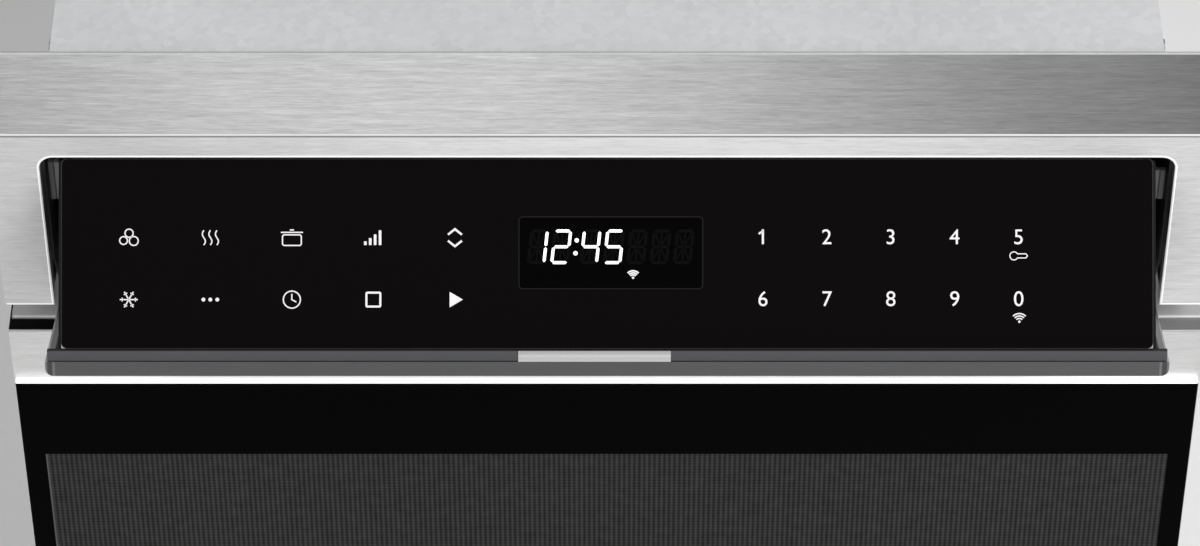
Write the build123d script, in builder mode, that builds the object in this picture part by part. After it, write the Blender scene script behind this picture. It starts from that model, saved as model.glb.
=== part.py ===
"""Built-in microwave drawer with a tip-out control flap, shown with the flap open and the drawer shut.

Millimetres. +Z is up, the front faces -Y, and Z = 0 is the underside of the base. The origin is
centred in X and Y on the whole drawer as it stands. "Depth" is measured back from the front plane.
"""
from build123d import *
from math import atan2, cos, degrees, hypot, pi, radians, sin, sqrt, tan
import os

os.makedirs("parts", exist_ok=True)

# Front
FRONT_WIDTH = 606.4
FRONT_TOP = 437.0
FRAME_DEPTH = 61.0
FASCIA_HEIGHT = 115.5
NOTCH_SIDE = 24.95  # steel left and right of the notch
NOTCH_DROP = 14.5  # from the top of the fascia to the top edge of the notch
NOTCH_CORNER = 7.0
NOTCH_RETURN = 8.0
SHEET = 1.0
PLATE = 1.5
BEND = 1.4

# Drawer front
DRAWER_GAP = 18.5  # between the fascia and the drawer front, where the flap's lower edge swings
DRAWER_BOTTOM = 3.0
DRAWER_FRONT_DEPTH = 45.0
BAND_HEIGHT = 34.0
GLASS_STEP = 3.6
GLASS_INSET = 0.8
GLASS_BOTTOM = 24.0
WINDOW_SIDE = 11.2
WINDOW_DROP = 85.0
WINDOW_BOTTOM = 78.0
SKIN_LEDGE = 8.5
TRIM_RISE = 1.0

# Body
BODY_INSET = 22.7  # from each side of the front, which laps the cabinet by this much
COVER_DROP = 21.0  # from the top of the front to the top cover
BODY_REAR = 648.0
GLAND_HEAD = 3.0
FLOOR_SHEET = 1.2
CEILING_DROP = 183.0

# Power parts, placed from the back of the body
SCROLL_R = 54.0
SCROLL_GAP = 7.8
BLOWER_RISE = 76.0  # from the ceiling it stands on to its shaft
BLOWER_X = 150.0
BLOWER_WIDTH = 50.0
VENT_PITCH = 12.0
VENT_LENGTH = 36.0
VENT_WIDTH = 4.5

# Control flap
FLAP_SIDE_GAP = 3.35
FLAP_SWING = 71.0
FLAP_GAP = 2.0
FLAP_HEIGHT = 97.0
FLAP_RETURN = 7.7
FLAP_CORNER = 4.0
PIVOT_DEPTH = 17.45
PIVOT_DROP = 91.1
PIVOT_RADIUS = 3.0
RUNNING_GAP = 0.1
PRESS_GAP = 0.02
SEAT_GAP = 0.3
FLAP_GLASS_SIDE = 7.9
FLAP_GLASS_HEIGHT = 92.5
FLAP_GLASS_DROP = 0.7  # shows a dark line under the top edge of the notch
FLAP_GLASS_THICK = 3.2
FLAP_GLASS_TILT = 45.0
FLAP_GLASS_RECESS = 3.0
TRAY_RIM = 1.5
TRAY_DEPTH = 14.0
TRAY_WALL = 5.0
TRAY_FLOOR = 2.0
CHEEK_GAP = 1.0
CHEEK_THICK = 2.5
BRACKET_THICK = 2.0
HOUSING_GAP = 1.3
HOUSING_WALL = 1.5
HOUSING_SIDE_STEP = 0.25
HOUSING_FLOOR_DROP = 13.4
STOP_WIDTH = 5.4
STOP_DEPTH = 20.0
STOP_THICK = 2.4
STOP_RISE = 44.5
STOP_LEFT = 25.0
STOP_RIGHT = 19.5

# Tub and runners
TUB_SIDE_SPACE = 42.0  # from the outer rail's web, for the three rails and the tub's arms
TUB_LENGTH = 420.0
TUB_TOP_GAP = 2.0
TUB_FLOOR_Z = 70.0
TUB_FRONT = 49.0
TUB_SHEET = 1.2
TUB_RIM = 12.0
TUB_CORNER = 20.0
RAIL_Z = 142.5
RAIL_HEIGHT = 45.0
RAIL_SHEET = 1.5
RAIL_BRACKET = 17.5
RAIL_GAP = 0.5

# Gears
RACK_MODULE = 2.0
PINION_TEETH = 16
DAMPER_MODULE = 1.0
DAMPER_TEETH = 16
SECTOR_TEETH = 64
DAMPER_ANGLE = 100.0
PRESSURE = 20.0
BACKLASH = 0.3
ADDENDUM = 0.9
DEDENDUM = 1.25

# Worked out from the sizes above
FRONT_HALF = FRONT_WIDTH / 2
BODY_HALF = FRONT_HALF - BODY_INSET
INNER_HALF = BODY_HALF - SHEET
FASCIA_BOTTOM = FRONT_TOP - FASCIA_HEIGHT
NOTCH_TOP = FRONT_TOP - NOTCH_DROP
NOTCH_HALF = FRONT_HALF - NOTCH_SIDE
WINDOW_WIDTH = FRONT_WIDTH - 2 * WINDOW_SIDE
FLAP_WIDTH = 2 * (NOTCH_HALF - FLAP_SIDE_GAP)
FLAP_GLASS_WIDTH = FLAP_WIDTH - 2 * FLAP_GLASS_SIDE
TRAY_WIDTH = FLAP_GLASS_WIDTH + 2 * TRAY_RIM
CHEEK_OUTER = FLAP_GLASS_WIDTH / 2
BRACKET_INNER = CHEEK_OUTER + CHEEK_GAP
HOUSING_HALF = NOTCH_HALF + HOUSING_SIDE_STEP
RAIL_OUTER_X = INNER_HALF - RAIL_BRACKET
TUB_WIDTH = 2 * (RAIL_OUTER_X - TUB_SIDE_SPACE)
DRAWER_TOP = FASCIA_BOTTOM - DRAWER_GAP
WINDOW_TOP = DRAWER_TOP - WINDOW_DROP
BODY_TOP = FRONT_TOP - COVER_DROP
BODY_DEPTH = BODY_REAR + GLAND_HEAD
CEILING_Z = FRONT_TOP - CEILING_DROP
BLOWER_Z = CEILING_Z + BLOWER_RISE
TUB_HEIGHT = CEILING_Z - TUB_TOP_GAP - TUB_FLOOR_Z
PIVOT_Z = NOTCH_TOP - PIVOT_DROP
TIP_V = PIVOT_DROP - FLAP_GAP
SWING = radians(FLAP_SWING)
LIP_REACH = sin(SWING) * TIP_V + cos(SWING) * PIVOT_DEPTH - PIVOT_DEPTH
FRONT_Y = (LIP_REACH - BODY_DEPTH) / 2
FLANGE_DEPTH = FRAME_DEPTH - PLATE
OUT = Vector(0, -cos(SWING), -sin(SWING))
UP = Vector(0, -sin(SWING), cos(SWING))
PIVOT = Vector(0, FRONT_Y + PIVOT_DEPTH, PIVOT_Z)
SWEEP = hypot(PIVOT_DEPTH, TIP_V)
BLOWER_DEPTH = BODY_REAR - FLOOR_SHEET - SCROLL_GAP - SCROLL_R
TUB_BACK = TUB_FRONT + TUB_LENGTH


def face(depth):
    """Upright plane at a depth behind the front, facing the front: local x is X, local y is Z."""
    return Plane.XZ.offset(-(FRONT_Y + depth))


def side(x):
    """Upright plane facing +X: local x is Y, local y is Z."""
    return Plane.YZ.offset(x)


def flap_side(x):
    """Cross-section of the flap at x: local x is out of the shut front, local y is up the shut front."""
    return Plane(origin=PIVOT + Vector(x, 0, 0), x_dir=OUT, z_dir=(-1, 0, 0))


def flap_plan(v):
    """Plan of the flap at a height above its pivot: local x is X, local y runs back into the flap."""
    return Plane(origin=PIVOT + UP * v, x_dir=(1, 0, 0), z_dir=UP)


def glass_plane(z=0.0):
    """Face of the flap's glass, with its top edge at local y = 0, or a plane parallel to it."""
    tilt = radians(FLAP_GLASS_TILT)
    normal = Vector(0, -sin(tilt), cos(tilt))
    down = Vector(0, -cos(tilt), -sin(tilt))
    top_edge = Vector(0, FRONT_Y, NOTCH_TOP) - normal * FLAP_GLASS_RECESS + down * FLAP_GLASS_DROP
    return Plane(origin=top_edge + normal * z, x_dir=(1, 0, 0), z_dir=normal)


def under_glass(y, depth):
    """Local flap_side coordinates of a point y along the glass and a depth under its face."""
    point = glass_plane().from_local_coords(Vector(0, y, -depth)) - PIVOT
    return (point.dot(OUT), point.dot(UP))


def slab(x0, x1, depth0, depth1, z0, z1, mode=Mode.ADD):
    """Rectangular plate or pocket in the open BuildPart, between two depths and two heights."""
    with BuildSketch(Plane.XY.offset(z0)) as plan:
        with Locations(((x0 + x1) / 2, FRONT_Y + (depth0 + depth1) / 2)):
            Rectangle(x1 - x0, depth1 - depth0)
    extrude(plan.sketch, amount=z1 - z0, mode=mode)


def upright(x0, x1, z0, z1):
    """Rectangle in the open BuildSketch on a face() plane, between two x and two heights."""
    with Locations(((x0 + x1) / 2, (z0 + z1) / 2)):
        Rectangle(x1 - x0, z1 - z0)


def keep(piece, name):
    """Label one finished piece and write it."""
    piece.part.label = name
    export_step(piece.part, f"parts/{name}.step")


def tooth_outline(module, teeth):
    """One involute tooth, centred on local +x, from just inside the root circle to the tip."""
    pitch_r = module * teeth / 2
    base_r = pitch_r * cos(radians(PRESSURE))
    tip_r = pitch_r + ADDENDUM * module
    root_r = pitch_r - DEDENDUM * module
    half_pitch = (pi * module / 2 - BACKLASH) / 2 / pitch_r
    involute = tan(radians(PRESSURE)) - radians(PRESSURE)
    flank = [(root_r * 0.98, half_pitch + involute)]
    start = max(base_r, root_r)
    for step in range(5):
        radius = start + (tip_r - start) * step / 4
        roll = sqrt(max((radius / base_r) ** 2 - 1, 0))
        flank.append((radius, half_pitch + involute - (roll - atan2(roll, 1))))
    right = [(r * cos(a), -r * sin(a)) for r, a in flank]
    left = [(r * cos(a), r * sin(a)) for r, a in reversed(flank)]
    return right + left


def gear_tooth(module, teeth):
    """Face of one tooth."""
    with BuildSketch() as tooth:
        with BuildLine():
            Polyline(*tooth_outline(module, teeth), close=True)
        make_face()
    return tooth.sketch


# ---------------------------------------------------------------- chassis sheet metal
with BuildPart() as base_pan:
    slab(-INNER_HALF, INNER_HALF, FRAME_DEPTH, BODY_REAR - FLOOR_SHEET, 0, FLOOR_SHEET)
    slab(-INNER_HALF, INNER_HALF, FRAME_DEPTH, FRAME_DEPTH + FLOOR_SHEET, FLOOR_SHEET, 18)
    for hand in (-1, 1):
        edge = sorted((hand * INNER_HALF, hand * (INNER_HALF - FLOOR_SHEET)))
        slab(*edge, FRAME_DEPTH, BODY_REAR - FLOOR_SHEET, FLOOR_SHEET, 24)
    SCREW_DEPTHS = [FRAME_DEPTH + 39 + n * (BODY_REAR - FRAME_DEPTH - 77) / 3 for n in range(4)]
    with BuildSketch(side(-INNER_HALF)):
        with Locations(*[(FRONT_Y + depth, 13) for depth in SCREW_DEPTHS]):
            Circle(2.0)
    extrude(amount=2 * INNER_HALF, mode=Mode.SUBTRACT)
keep(base_pan, "base_pan")

COVER_FLANGE = 0.8
TOP_SCREW_Z = BODY_TOP - 9.0
for hand, name in ((-1, "left"), (1, "right")):
    with BuildPart() as side_panel:
        with BuildSketch(side(hand * BODY_HALF)):
            with Locations((FRONT_Y + (FRAME_DEPTH + BODY_REAR) / 2, (BODY_TOP - SHEET) / 2)):
                Rectangle(BODY_REAR - FRAME_DEPTH, BODY_TOP - SHEET)
            with Locations(*[(FRONT_Y + depth, z) for depth in SCREW_DEPTHS for z in (13, TOP_SCREW_Z)]):
                Circle(2.0, mode=Mode.SUBTRACT)
            with Locations((FRONT_Y + BLOWER_DEPTH - SCROLL_R / 2, BLOWER_Z)):
                with GridLocations(VENT_PITCH * 3 / 4, VENT_LENGTH + 8, 12, 2):
                    SlotOverall(VENT_LENGTH, VENT_WIDTH, rotation=90, mode=Mode.SUBTRACT)
        extrude(amount=-hand * SHEET)
    keep(side_panel, f"side_panel_{name}")

with BuildPart() as top_cover:
    slab(-BODY_HALF, BODY_HALF, FRAME_DEPTH, BODY_REAR, BODY_TOP - SHEET, BODY_TOP)
    for hand in (-1, 1):
        edge = sorted((hand * INNER_HALF, hand * (INNER_HALF - COVER_FLANGE)))
        slab(*edge, FRAME_DEPTH, BODY_REAR - FLOOR_SHEET, BODY_TOP - 18, BODY_TOP - SHEET)
    with BuildSketch(side(-INNER_HALF)):
        with Locations(*[(FRONT_Y + depth, TOP_SCREW_Z) for depth in SCREW_DEPTHS]):
            Circle(2.0)
    extrude(amount=2 * INNER_HALF, mode=Mode.SUBTRACT)
keep(top_cover, "top_cover")

CORD_X = -190.0
CORD_Z = 60.0
CORD_BORE = 5.5
GLAND_BARREL = 9.0
with BuildPart() as rear_panel:
    with BuildSketch(face(BODY_REAR)):
        upright(-INNER_HALF, INNER_HALF, 0, BODY_TOP - SHEET)
        with Locations((CORD_X, CORD_Z)):
            Circle(GLAND_BARREL + RUNNING_GAP, mode=Mode.SUBTRACT)
        with Locations((BLOWER_X - BLOWER_WIDTH / 2, BLOWER_Z + 10)):
            with GridLocations(VENT_PITCH, VENT_LENGTH + 8, 12, 2):
                SlotOverall(VENT_LENGTH, VENT_WIDTH, rotation=90, mode=Mode.SUBTRACT)
    extrude(amount=FLOOR_SHEET)
keep(rear_panel, "rear_panel")

with BuildPart() as cord_gland:
    with BuildSketch(face(BODY_DEPTH)):
        with Locations((CORD_X, CORD_Z)):
            Circle(14)
    extrude(amount=BODY_DEPTH - BODY_REAR)
    with BuildSketch(face(BODY_REAR)):
        with Locations((CORD_X, CORD_Z)):
            Circle(GLAND_BARREL)
    extrude(amount=14)
    with BuildSketch(face(BODY_DEPTH)):
        with Locations((CORD_X, CORD_Z)):
            Circle(CORD_BORE)
    extrude(amount=BODY_DEPTH - BODY_REAR + 14, mode=Mode.SUBTRACT)
keep(cord_gland, "cord_gland")

# Flange plate: one opening for the tub, one for the flap's housing, and the cabinet screw holes.
TUNNEL_HALF = BODY_HALF - 12.5
TUNNEL_TOP = CEILING_Z + 8.0
TUNNEL_BOTTOM = 20.0
HOUSING_FLOOR = PIVOT_Z - HOUSING_FLOOR_DROP
SHELF_Z = HOUSING_FLOOR - HOUSING_WALL
MOUNT_X = FRONT_HALF - 6.2
MOUNT_Z = (60.0, FRONT_TOP - 37.0)
MOUNT_HOLE = 2.4
HOOK_X = BODY_HALF - 30.5
HOOK_Z = DRAWER_TOP - 23.0
with BuildPart() as front_frame:
    with BuildSketch(face(FRAME_DEPTH)):
        upright(-FRONT_HALF, FRONT_HALF, DRAWER_BOTTOM, FRONT_TOP)
        with BuildSketch(mode=Mode.SUBTRACT):
            upright(-TUNNEL_HALF, TUNNEL_HALF, TUNNEL_BOTTOM, TUNNEL_TOP)
            fillet(vertices(), 6)
        with BuildSketch(mode=Mode.SUBTRACT):
            upright(-HOUSING_HALF, HOUSING_HALF, SHELF_Z, BODY_TOP)
        with Locations(*[(x, z) for x in (-MOUNT_X, MOUNT_X) for z in MOUNT_Z]):
            Circle(MOUNT_HOLE, mode=Mode.SUBTRACT)
        with Locations((-HOOK_X, HOOK_Z), (HOOK_X, HOOK_Z)):
            Rectangle(12, 26, mode=Mode.SUBTRACT)
    extrude(amount=PLATE)
    slab(-HOUSING_HALF, HOUSING_HALF, FLANGE_DEPTH, FRAME_DEPTH + 24, SHELF_Z - PLATE, SHELF_Z)
keep(front_frame, "front_frame")

# Upper fascia: a folded pan whose front has the wide notch, open at the bottom.
with BuildPart() as upper_fascia:
    with BuildSketch(face(0)) as fascia_front:
        upright(-FRONT_HALF, FRONT_HALF, FASCIA_BOTTOM, FRONT_TOP)
    extrude(amount=-FLANGE_DEPTH)
    top_edge = edges().filter_by(Axis.X).group_by(Axis.Z)[-1].sort_by(Axis.Y)[0]
    fillet(top_edge, BEND)
    inside = (FRONT_HALF - SHEET, FASCIA_BOTTOM + SHEET, FRONT_TOP - SHEET)
    slab(-inside[0], inside[0], SHEET, FLANGE_DEPTH, inside[1], inside[2], mode=Mode.SUBTRACT)
    slab(-NOTCH_HALF - SHEET, NOTCH_HALF + SHEET, NOTCH_RETURN, FLANGE_DEPTH,
         FASCIA_BOTTOM, inside[1], mode=Mode.SUBTRACT)
    with BuildSketch(face(0)):
        upright(-NOTCH_HALF - SHEET, NOTCH_HALF + SHEET, FASCIA_BOTTOM, NOTCH_TOP + SHEET)
        fillet(vertices().group_by(Axis.Y)[-1], NOTCH_CORNER + SHEET)
    extrude(amount=-NOTCH_RETURN)
    with BuildSketch(face(0)):
        upright(-NOTCH_HALF, NOTCH_HALF, FASCIA_BOTTOM - SHEET, NOTCH_TOP)
        fillet(vertices().group_by(Axis.Y)[-1], NOTCH_CORNER)
    extrude(amount=-NOTCH_RETURN, mode=Mode.SUBTRACT)
keep(upper_fascia, "upper_fascia")

# Housing behind the notch: its roof follows the flap's swing.
HOUSING_FRONT = 9.5
HOUSING_R = SWEEP + HOUSING_GAP + HOUSING_WALL
FLOOR_FRONT = PIVOT_DEPTH + 7.0


def housing_outline(radius, floor_z, front):
    """Housing section on a side() plane: roof arc round the pivot, straight back, floor, open front."""
    pivot_y = PIVOT.Y
    start = FRONT_Y + front
    roof_start = (start, PIVOT_Z + sqrt(radius**2 - (start - pivot_y) ** 2))
    back = pivot_y + radius
    mid = (pivot_y + radius * cos(pi / 4), PIVOT_Z + radius * sin(pi / 4))
    ThreePointArc(roof_start, mid, (back, PIVOT_Z))
    Line((back, PIVOT_Z), (back, floor_z))
    Line((back, floor_z), (FRONT_Y + max(front, FLOOR_FRONT), floor_z))
    Line((FRONT_Y + max(front, FLOOR_FRONT), floor_z), (start, PIVOT_Z + HOUSING_FLOOR_DROP))
    Line((start, PIVOT_Z + HOUSING_FLOOR_DROP), roof_start)


with BuildPart() as flap_housing:
    with BuildSketch(side(0)):
        with BuildLine():
            housing_outline(HOUSING_R, SHELF_Z, HOUSING_FRONT)
        make_face()
    extrude(amount=HOUSING_HALF, both=True)
    with BuildSketch(side(0)):
        with BuildLine():
            housing_outline(HOUSING_R - HOUSING_WALL, HOUSING_FLOOR, HOUSING_FRONT)
        make_face()
        with Locations((FRONT_Y + HOUSING_FRONT, PIVOT_Z + 60)):
            Rectangle(30, 120 + 2 * HOUSING_FLOOR_DROP)
        with Locations((FRONT_Y + FLOOR_FRONT - 10, HOUSING_FLOOR + 15)):
            Rectangle(30, 30)
    extrude(amount=HOUSING_HALF - HOUSING_WALL, both=True, mode=Mode.SUBTRACT)
    for hand, stop_height in ((-1, STOP_LEFT), (1, STOP_RIGHT)):
        stop = sorted((hand * (HOUSING_HALF - HOUSING_WALL), hand * (HOUSING_HALF - HOUSING_WALL - STOP_WIDTH)))
        slab(*stop, STOP_DEPTH, STOP_DEPTH + STOP_THICK, PIVOT_Z + STOP_RISE, PIVOT_Z + STOP_RISE + stop_height)
        groove = sorted((hand * (HOUSING_HALF - HOUSING_WALL - STOP_WIDTH / 2 - 0.3),
                         hand * (HOUSING_HALF - HOUSING_WALL - STOP_WIDTH / 2 + 0.3)))
        slab(*groove, STOP_DEPTH, STOP_DEPTH + STOP_THICK / 3, PIVOT_Z + STOP_RISE,
             PIVOT_Z + STOP_RISE + stop_height, mode=Mode.SUBTRACT)
keep(flap_housing, "flap_housing")

for hand, name in ((-1, "left"), (1, "right")):
    with BuildPart() as hinge_bracket:
        with BuildSketch(side(hand * BRACKET_INNER)):
            with Locations((PIVOT.Y, PIVOT_Z)):
                Circle(12)
            with BuildLine():
                Polyline(
                    (PIVOT.Y, PIVOT_Z + 12), (PIVOT.Y + 18, PIVOT_Z + 4), (PIVOT.Y + 27, HOUSING_FLOOR),
                    (PIVOT.Y + 10, HOUSING_FLOOR), (PIVOT.Y + 8, PIVOT_Z - 7), (PIVOT.Y, PIVOT_Z), close=True,
                )
            make_face()
            with Locations((PIVOT.Y, PIVOT_Z)):
                Circle(PIVOT_RADIUS + RUNNING_GAP, mode=Mode.SUBTRACT)
        extrude(amount=hand * BRACKET_THICK)
        foot = sorted((hand * BRACKET_INNER, hand * (HOUSING_HALF - HOUSING_WALL)))
        slab(*foot, PIVOT_DEPTH + 9, PIVOT_DEPTH + 27, HOUSING_FLOOR, HOUSING_FLOOR + PLATE)
    keep(hinge_bracket, f"hinge_bracket_{name}")

# ---------------------------------------------------------------- control flap
LIP_BACK_U = PIVOT_DEPTH - 14.0
LIP_FRONT_U = PIVOT_DEPTH - FLAP_RETURN - 0.4
LIP_PLATE = 2.0
BOTTOM_V = TIP_V - FLAP_HEIGHT
with BuildPart() as flap_fascia:
    with BuildSketch(flap_plan(BOTTOM_V)):
        with Locations((0, -PIVOT_DEPTH + FLAP_RETURN / 2)):
            Rectangle(FLAP_WIDTH, FLAP_RETURN)
        fillet(vertices().group_by(Axis.Y)[0], FLAP_CORNER)
    extrude(amount=FLAP_HEIGHT)
    with BuildSketch(flap_plan(BOTTOM_V + SHEET)):
        with Locations((0, -PIVOT_DEPTH + SHEET + FLAP_RETURN / 2)):
            Rectangle(FLAP_WIDTH - 2 * SHEET, FLAP_RETURN)
        fillet(vertices().group_by(Axis.Y)[0], FLAP_CORNER - SHEET)
    extrude(amount=FLAP_HEIGHT - 2 * SHEET, mode=Mode.SUBTRACT)
keep(flap_fascia, "flap_fascia")

with BuildPart() as flap_lip:
    with BuildSketch(flap_side(0)):
        with BuildLine():
            Polyline(
                (LIP_BACK_U, TIP_V), (LIP_FRONT_U, TIP_V), (LIP_FRONT_U, TIP_V - 11),
                (LIP_FRONT_U - 1.2, TIP_V - 11), (LIP_FRONT_U - 2.7, TIP_V - 7.4),
                (LIP_FRONT_U - 2.0, TIP_V - LIP_PLATE), (LIP_BACK_U, TIP_V - LIP_PLATE), close=True,
            )
        make_face()
    extrude(amount=FLAP_WIDTH / 2 - SHEET - SEAT_GAP, both=True)
keep(flap_lip, "flap_lip")

# End caps close the pan's open side between the steel and the tray.
CAP_WIDTH = 3.8
CAP_THICK = 1.6
CAP_WALL = 1.2
CAP_START = 14.0
with BuildPart() as flap_end_caps:
    cap_open = FLAP_RETURN - PIVOT_DEPTH
    for hand in (-1, 1):
        cap_out = FLAP_WIDTH / 2 - SHEET - RUNNING_GAP
        with BuildSketch(flap_plan(CAP_START)):
            with Locations((hand * (cap_out - CAP_WIDTH / 2), cap_open - CAP_THICK / 2)):
                Rectangle(CAP_WIDTH, CAP_THICK)
            with Locations((hand * (cap_out - CAP_WIDTH + CAP_WALL / 2), cap_open - (FLAP_RETURN - 2 * SHEET) / 2)):
                Rectangle(CAP_WALL, FLAP_RETURN - 2 * SHEET)
        extrude(amount=TIP_V - SHEET - SEAT_GAP - CAP_START)
keep(flap_end_caps, "flap_end_caps")

TAB_WIDTH = 74.5
TAB_X = -6.2
TAB_THICK = 0.6
with BuildPart() as flap_tab:
    with BuildSketch(flap_plan(TIP_V)):
        with Locations((TAB_X, -(LIP_BACK_U + LIP_FRONT_U) / 2)):
            Rectangle(TAB_WIDTH, LIP_FRONT_U - LIP_BACK_U)
    extrude(amount=TAB_THICK)
keep(flap_tab, "flap_tab")

with BuildPart() as flap_glass:
    with BuildSketch(glass_plane()):
        with Locations((0, -FLAP_GLASS_HEIGHT / 2)):
            RectangleRounded(FLAP_GLASS_WIDTH, FLAP_GLASS_HEIGHT, 2.5)
    extrude(amount=-FLAP_GLASS_THICK)
keep(flap_glass, "flap_glass")

TRAY_LIP = 0.4
with BuildPart() as flap_tray:
    with BuildSketch(glass_plane()):
        with Locations((0, (TRAY_LIP - FLAP_GLASS_HEIGHT) / 2)):
            Rectangle(TRAY_WIDTH, FLAP_GLASS_HEIGHT + TRAY_LIP)
        fillet(vertices().group_by(Axis.Y)[-1], 3)
    extrude(amount=-TRAY_DEPTH)
    with BuildSketch(glass_plane()):
        with Locations((0, -FLAP_GLASS_HEIGHT / 2)):
            Rectangle(FLAP_GLASS_WIDTH + 0.5, FLAP_GLASS_HEIGHT + 0.2)
        with Locations((0, TRAY_LIP)):
            Rectangle(FLAP_GLASS_WIDTH - 10, 2 * TRAY_LIP)
    extrude(amount=-FLAP_GLASS_THICK, mode=Mode.SUBTRACT)
    with BuildSketch(glass_plane(-FLAP_GLASS_THICK)):
        with Locations((0, -FLAP_GLASS_HEIGHT / 2)):
            Rectangle(FLAP_GLASS_WIDTH - 2 * TRAY_WALL, FLAP_GLASS_HEIGHT - 2 * TRAY_WALL)
    extrude(amount=-(TRAY_DEPTH - FLAP_GLASS_THICK - TRAY_FLOOR), mode=Mode.SUBTRACT)
keep(flap_tray, "flap_tray")

BOARD_THICK = 1.6
BOARD_GAP = 0.4
WINDOW_X = 1.9
WINDOW_Y = -45.8
with BuildPart() as touch_board:
    with BuildSketch(glass_plane(-FLAP_GLASS_THICK - BOARD_GAP)):
        with Locations((0, -FLAP_GLASS_HEIGHT / 2)):
            Rectangle(FLAP_GLASS_WIDTH - 2 * TRAY_WALL - 1, FLAP_GLASS_HEIGHT - 2 * TRAY_WALL - 1)
    extrude(amount=-BOARD_THICK)
keep(touch_board, "touch_board")

with BuildPart() as display_module:
    with BuildSketch(glass_plane(-FLAP_GLASS_THICK - BOARD_GAP - BOARD_THICK)):
        with Locations((WINDOW_X, WINDOW_Y)):
            RectangleRounded(89.8, 35.1, 1.5)
    extrude(amount=-6.0)
keep(display_module, "display_module")

# Cheeks carry the tray on the pivot pins, and the left one carries the damper's gear sector.
SECTOR_R = DAMPER_MODULE * SECTOR_TEETH / 2
SECTOR_WIDTH = 6.0
for hand, name in ((-1, "left"), (1, "right")):
    with BuildPart() as cheek:
        with BuildSketch(flap_side(hand * CHEEK_OUTER)):
            with BuildLine():
                Polyline(
                    (PIVOT_DEPTH - SHEET - SEAT_GAP, BOTTOM_V + 2 * SHEET),
                    (PIVOT_DEPTH - SHEET - SEAT_GAP, TIP_V - 24),
                    under_glass(1 - FLAP_GLASS_HEIGHT, TRAY_DEPTH), under_glass(-30, TRAY_DEPTH),
                    (-9, 4), (-6, BOTTOM_V + 2 * SHEET), close=True,
                )
            make_face()
            Circle(9)
            Circle(PIVOT_RADIUS + PRESS_GAP, mode=Mode.SUBTRACT)
        extrude(amount=hand * CHEEK_THICK)
        if hand < 0:
            tooth = gear_tooth(DAMPER_MODULE, SECTOR_TEETH)
            pitch = 360 / SECTOR_TEETH
            first = round((DAMPER_ANGLE - 8) / pitch)
            last = round((DAMPER_ANGLE + FLAP_SWING + 8) / pitch)
            root = SECTOR_R - DEDENDUM * DAMPER_MODULE
            with BuildSketch(flap_side(-CHEEK_OUTER + CHEEK_THICK)):
                with BuildLine():
                    start = radians((first - 0.5) * pitch)
                    end = radians((last + 0.5) * pitch)
                    middle = (start + end) / 2
                    ThreePointArc(*[(root * cos(a), root * sin(a)) for a in (start, middle, end)])
                    Line((root * cos(end), root * sin(end)), (0, 0))
                    Line((0, 0), (root * cos(start), root * sin(start)))
                make_face()
                for number in range(first, last + 1):
                    with Locations(Location((0, 0), number * pitch)):
                        add(tooth)
                Circle(9)
                Circle(PIVOT_RADIUS + PRESS_GAP, mode=Mode.SUBTRACT)
            extrude(amount=-SECTOR_WIDTH)
    keep(cheek, f"flap_cheek_{name}")

with BuildPart() as pivot_pins:
    for hand in (-1, 1):
        with BuildSketch(flap_side(hand * (CHEEK_OUTER - CHEEK_THICK - 5))):
            Circle(PIVOT_RADIUS)
        extrude(amount=-hand * 11.5)
keep(pivot_pins, "pivot_pins")

# Rotary damper: its pinion meshes with the sector and slows the flap.
DAMPER_R = DAMPER_MODULE * DAMPER_TEETH / 2
DAMPER_Y = PIVOT.Y - (SECTOR_R + DAMPER_R) * cos(radians(DAMPER_ANGLE))
DAMPER_Z = PIVOT_Z + (SECTOR_R + DAMPER_R) * sin(radians(DAMPER_ANGLE))
DAMPER_FACE = -CHEEK_OUTER + CHEEK_THICK + SECTOR_WIDTH + 0.5
DAMPER_BODY = 11.0
SPINDLE_R = 2.0
sector_phase = DAMPER_ANGLE + FLAP_SWING
sector_offset = sector_phase / (360 / SECTOR_TEETH) % 1.0
with BuildPart() as damper_pinion:
    with BuildSketch(side(DAMPER_FACE - SECTOR_WIDTH)):
        with Locations((DAMPER_Y, DAMPER_Z)):
            Circle(DAMPER_R - DEDENDUM * DAMPER_MODULE)
            step = 360 / DAMPER_TEETH
            towards_pivot = degrees(atan2(PIVOT_Z - DAMPER_Z, PIVOT.Y - DAMPER_Y))
            with PolarLocations(0, DAMPER_TEETH, start_angle=towards_pivot + (0.5 - sector_offset) * step):
                add(gear_tooth(DAMPER_MODULE, DAMPER_TEETH))
            Circle(SPINDLE_R + RUNNING_GAP, mode=Mode.SUBTRACT)
    extrude(amount=SECTOR_WIDTH - 0.5)
keep(damper_pinion, "damper_pinion")

with BuildPart() as rotary_damper:
    with BuildSketch(side(DAMPER_FACE)):
        with Locations((DAMPER_Y, DAMPER_Z)):
            Circle(10)
    extrude(amount=DAMPER_BODY)
    with BuildSketch(side(DAMPER_FACE)):
        with Locations((DAMPER_Y, DAMPER_Z)):
            Circle(SPINDLE_R)
    extrude(amount=-SECTOR_WIDTH)
keep(rotary_damper, "rotary_damper")

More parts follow.
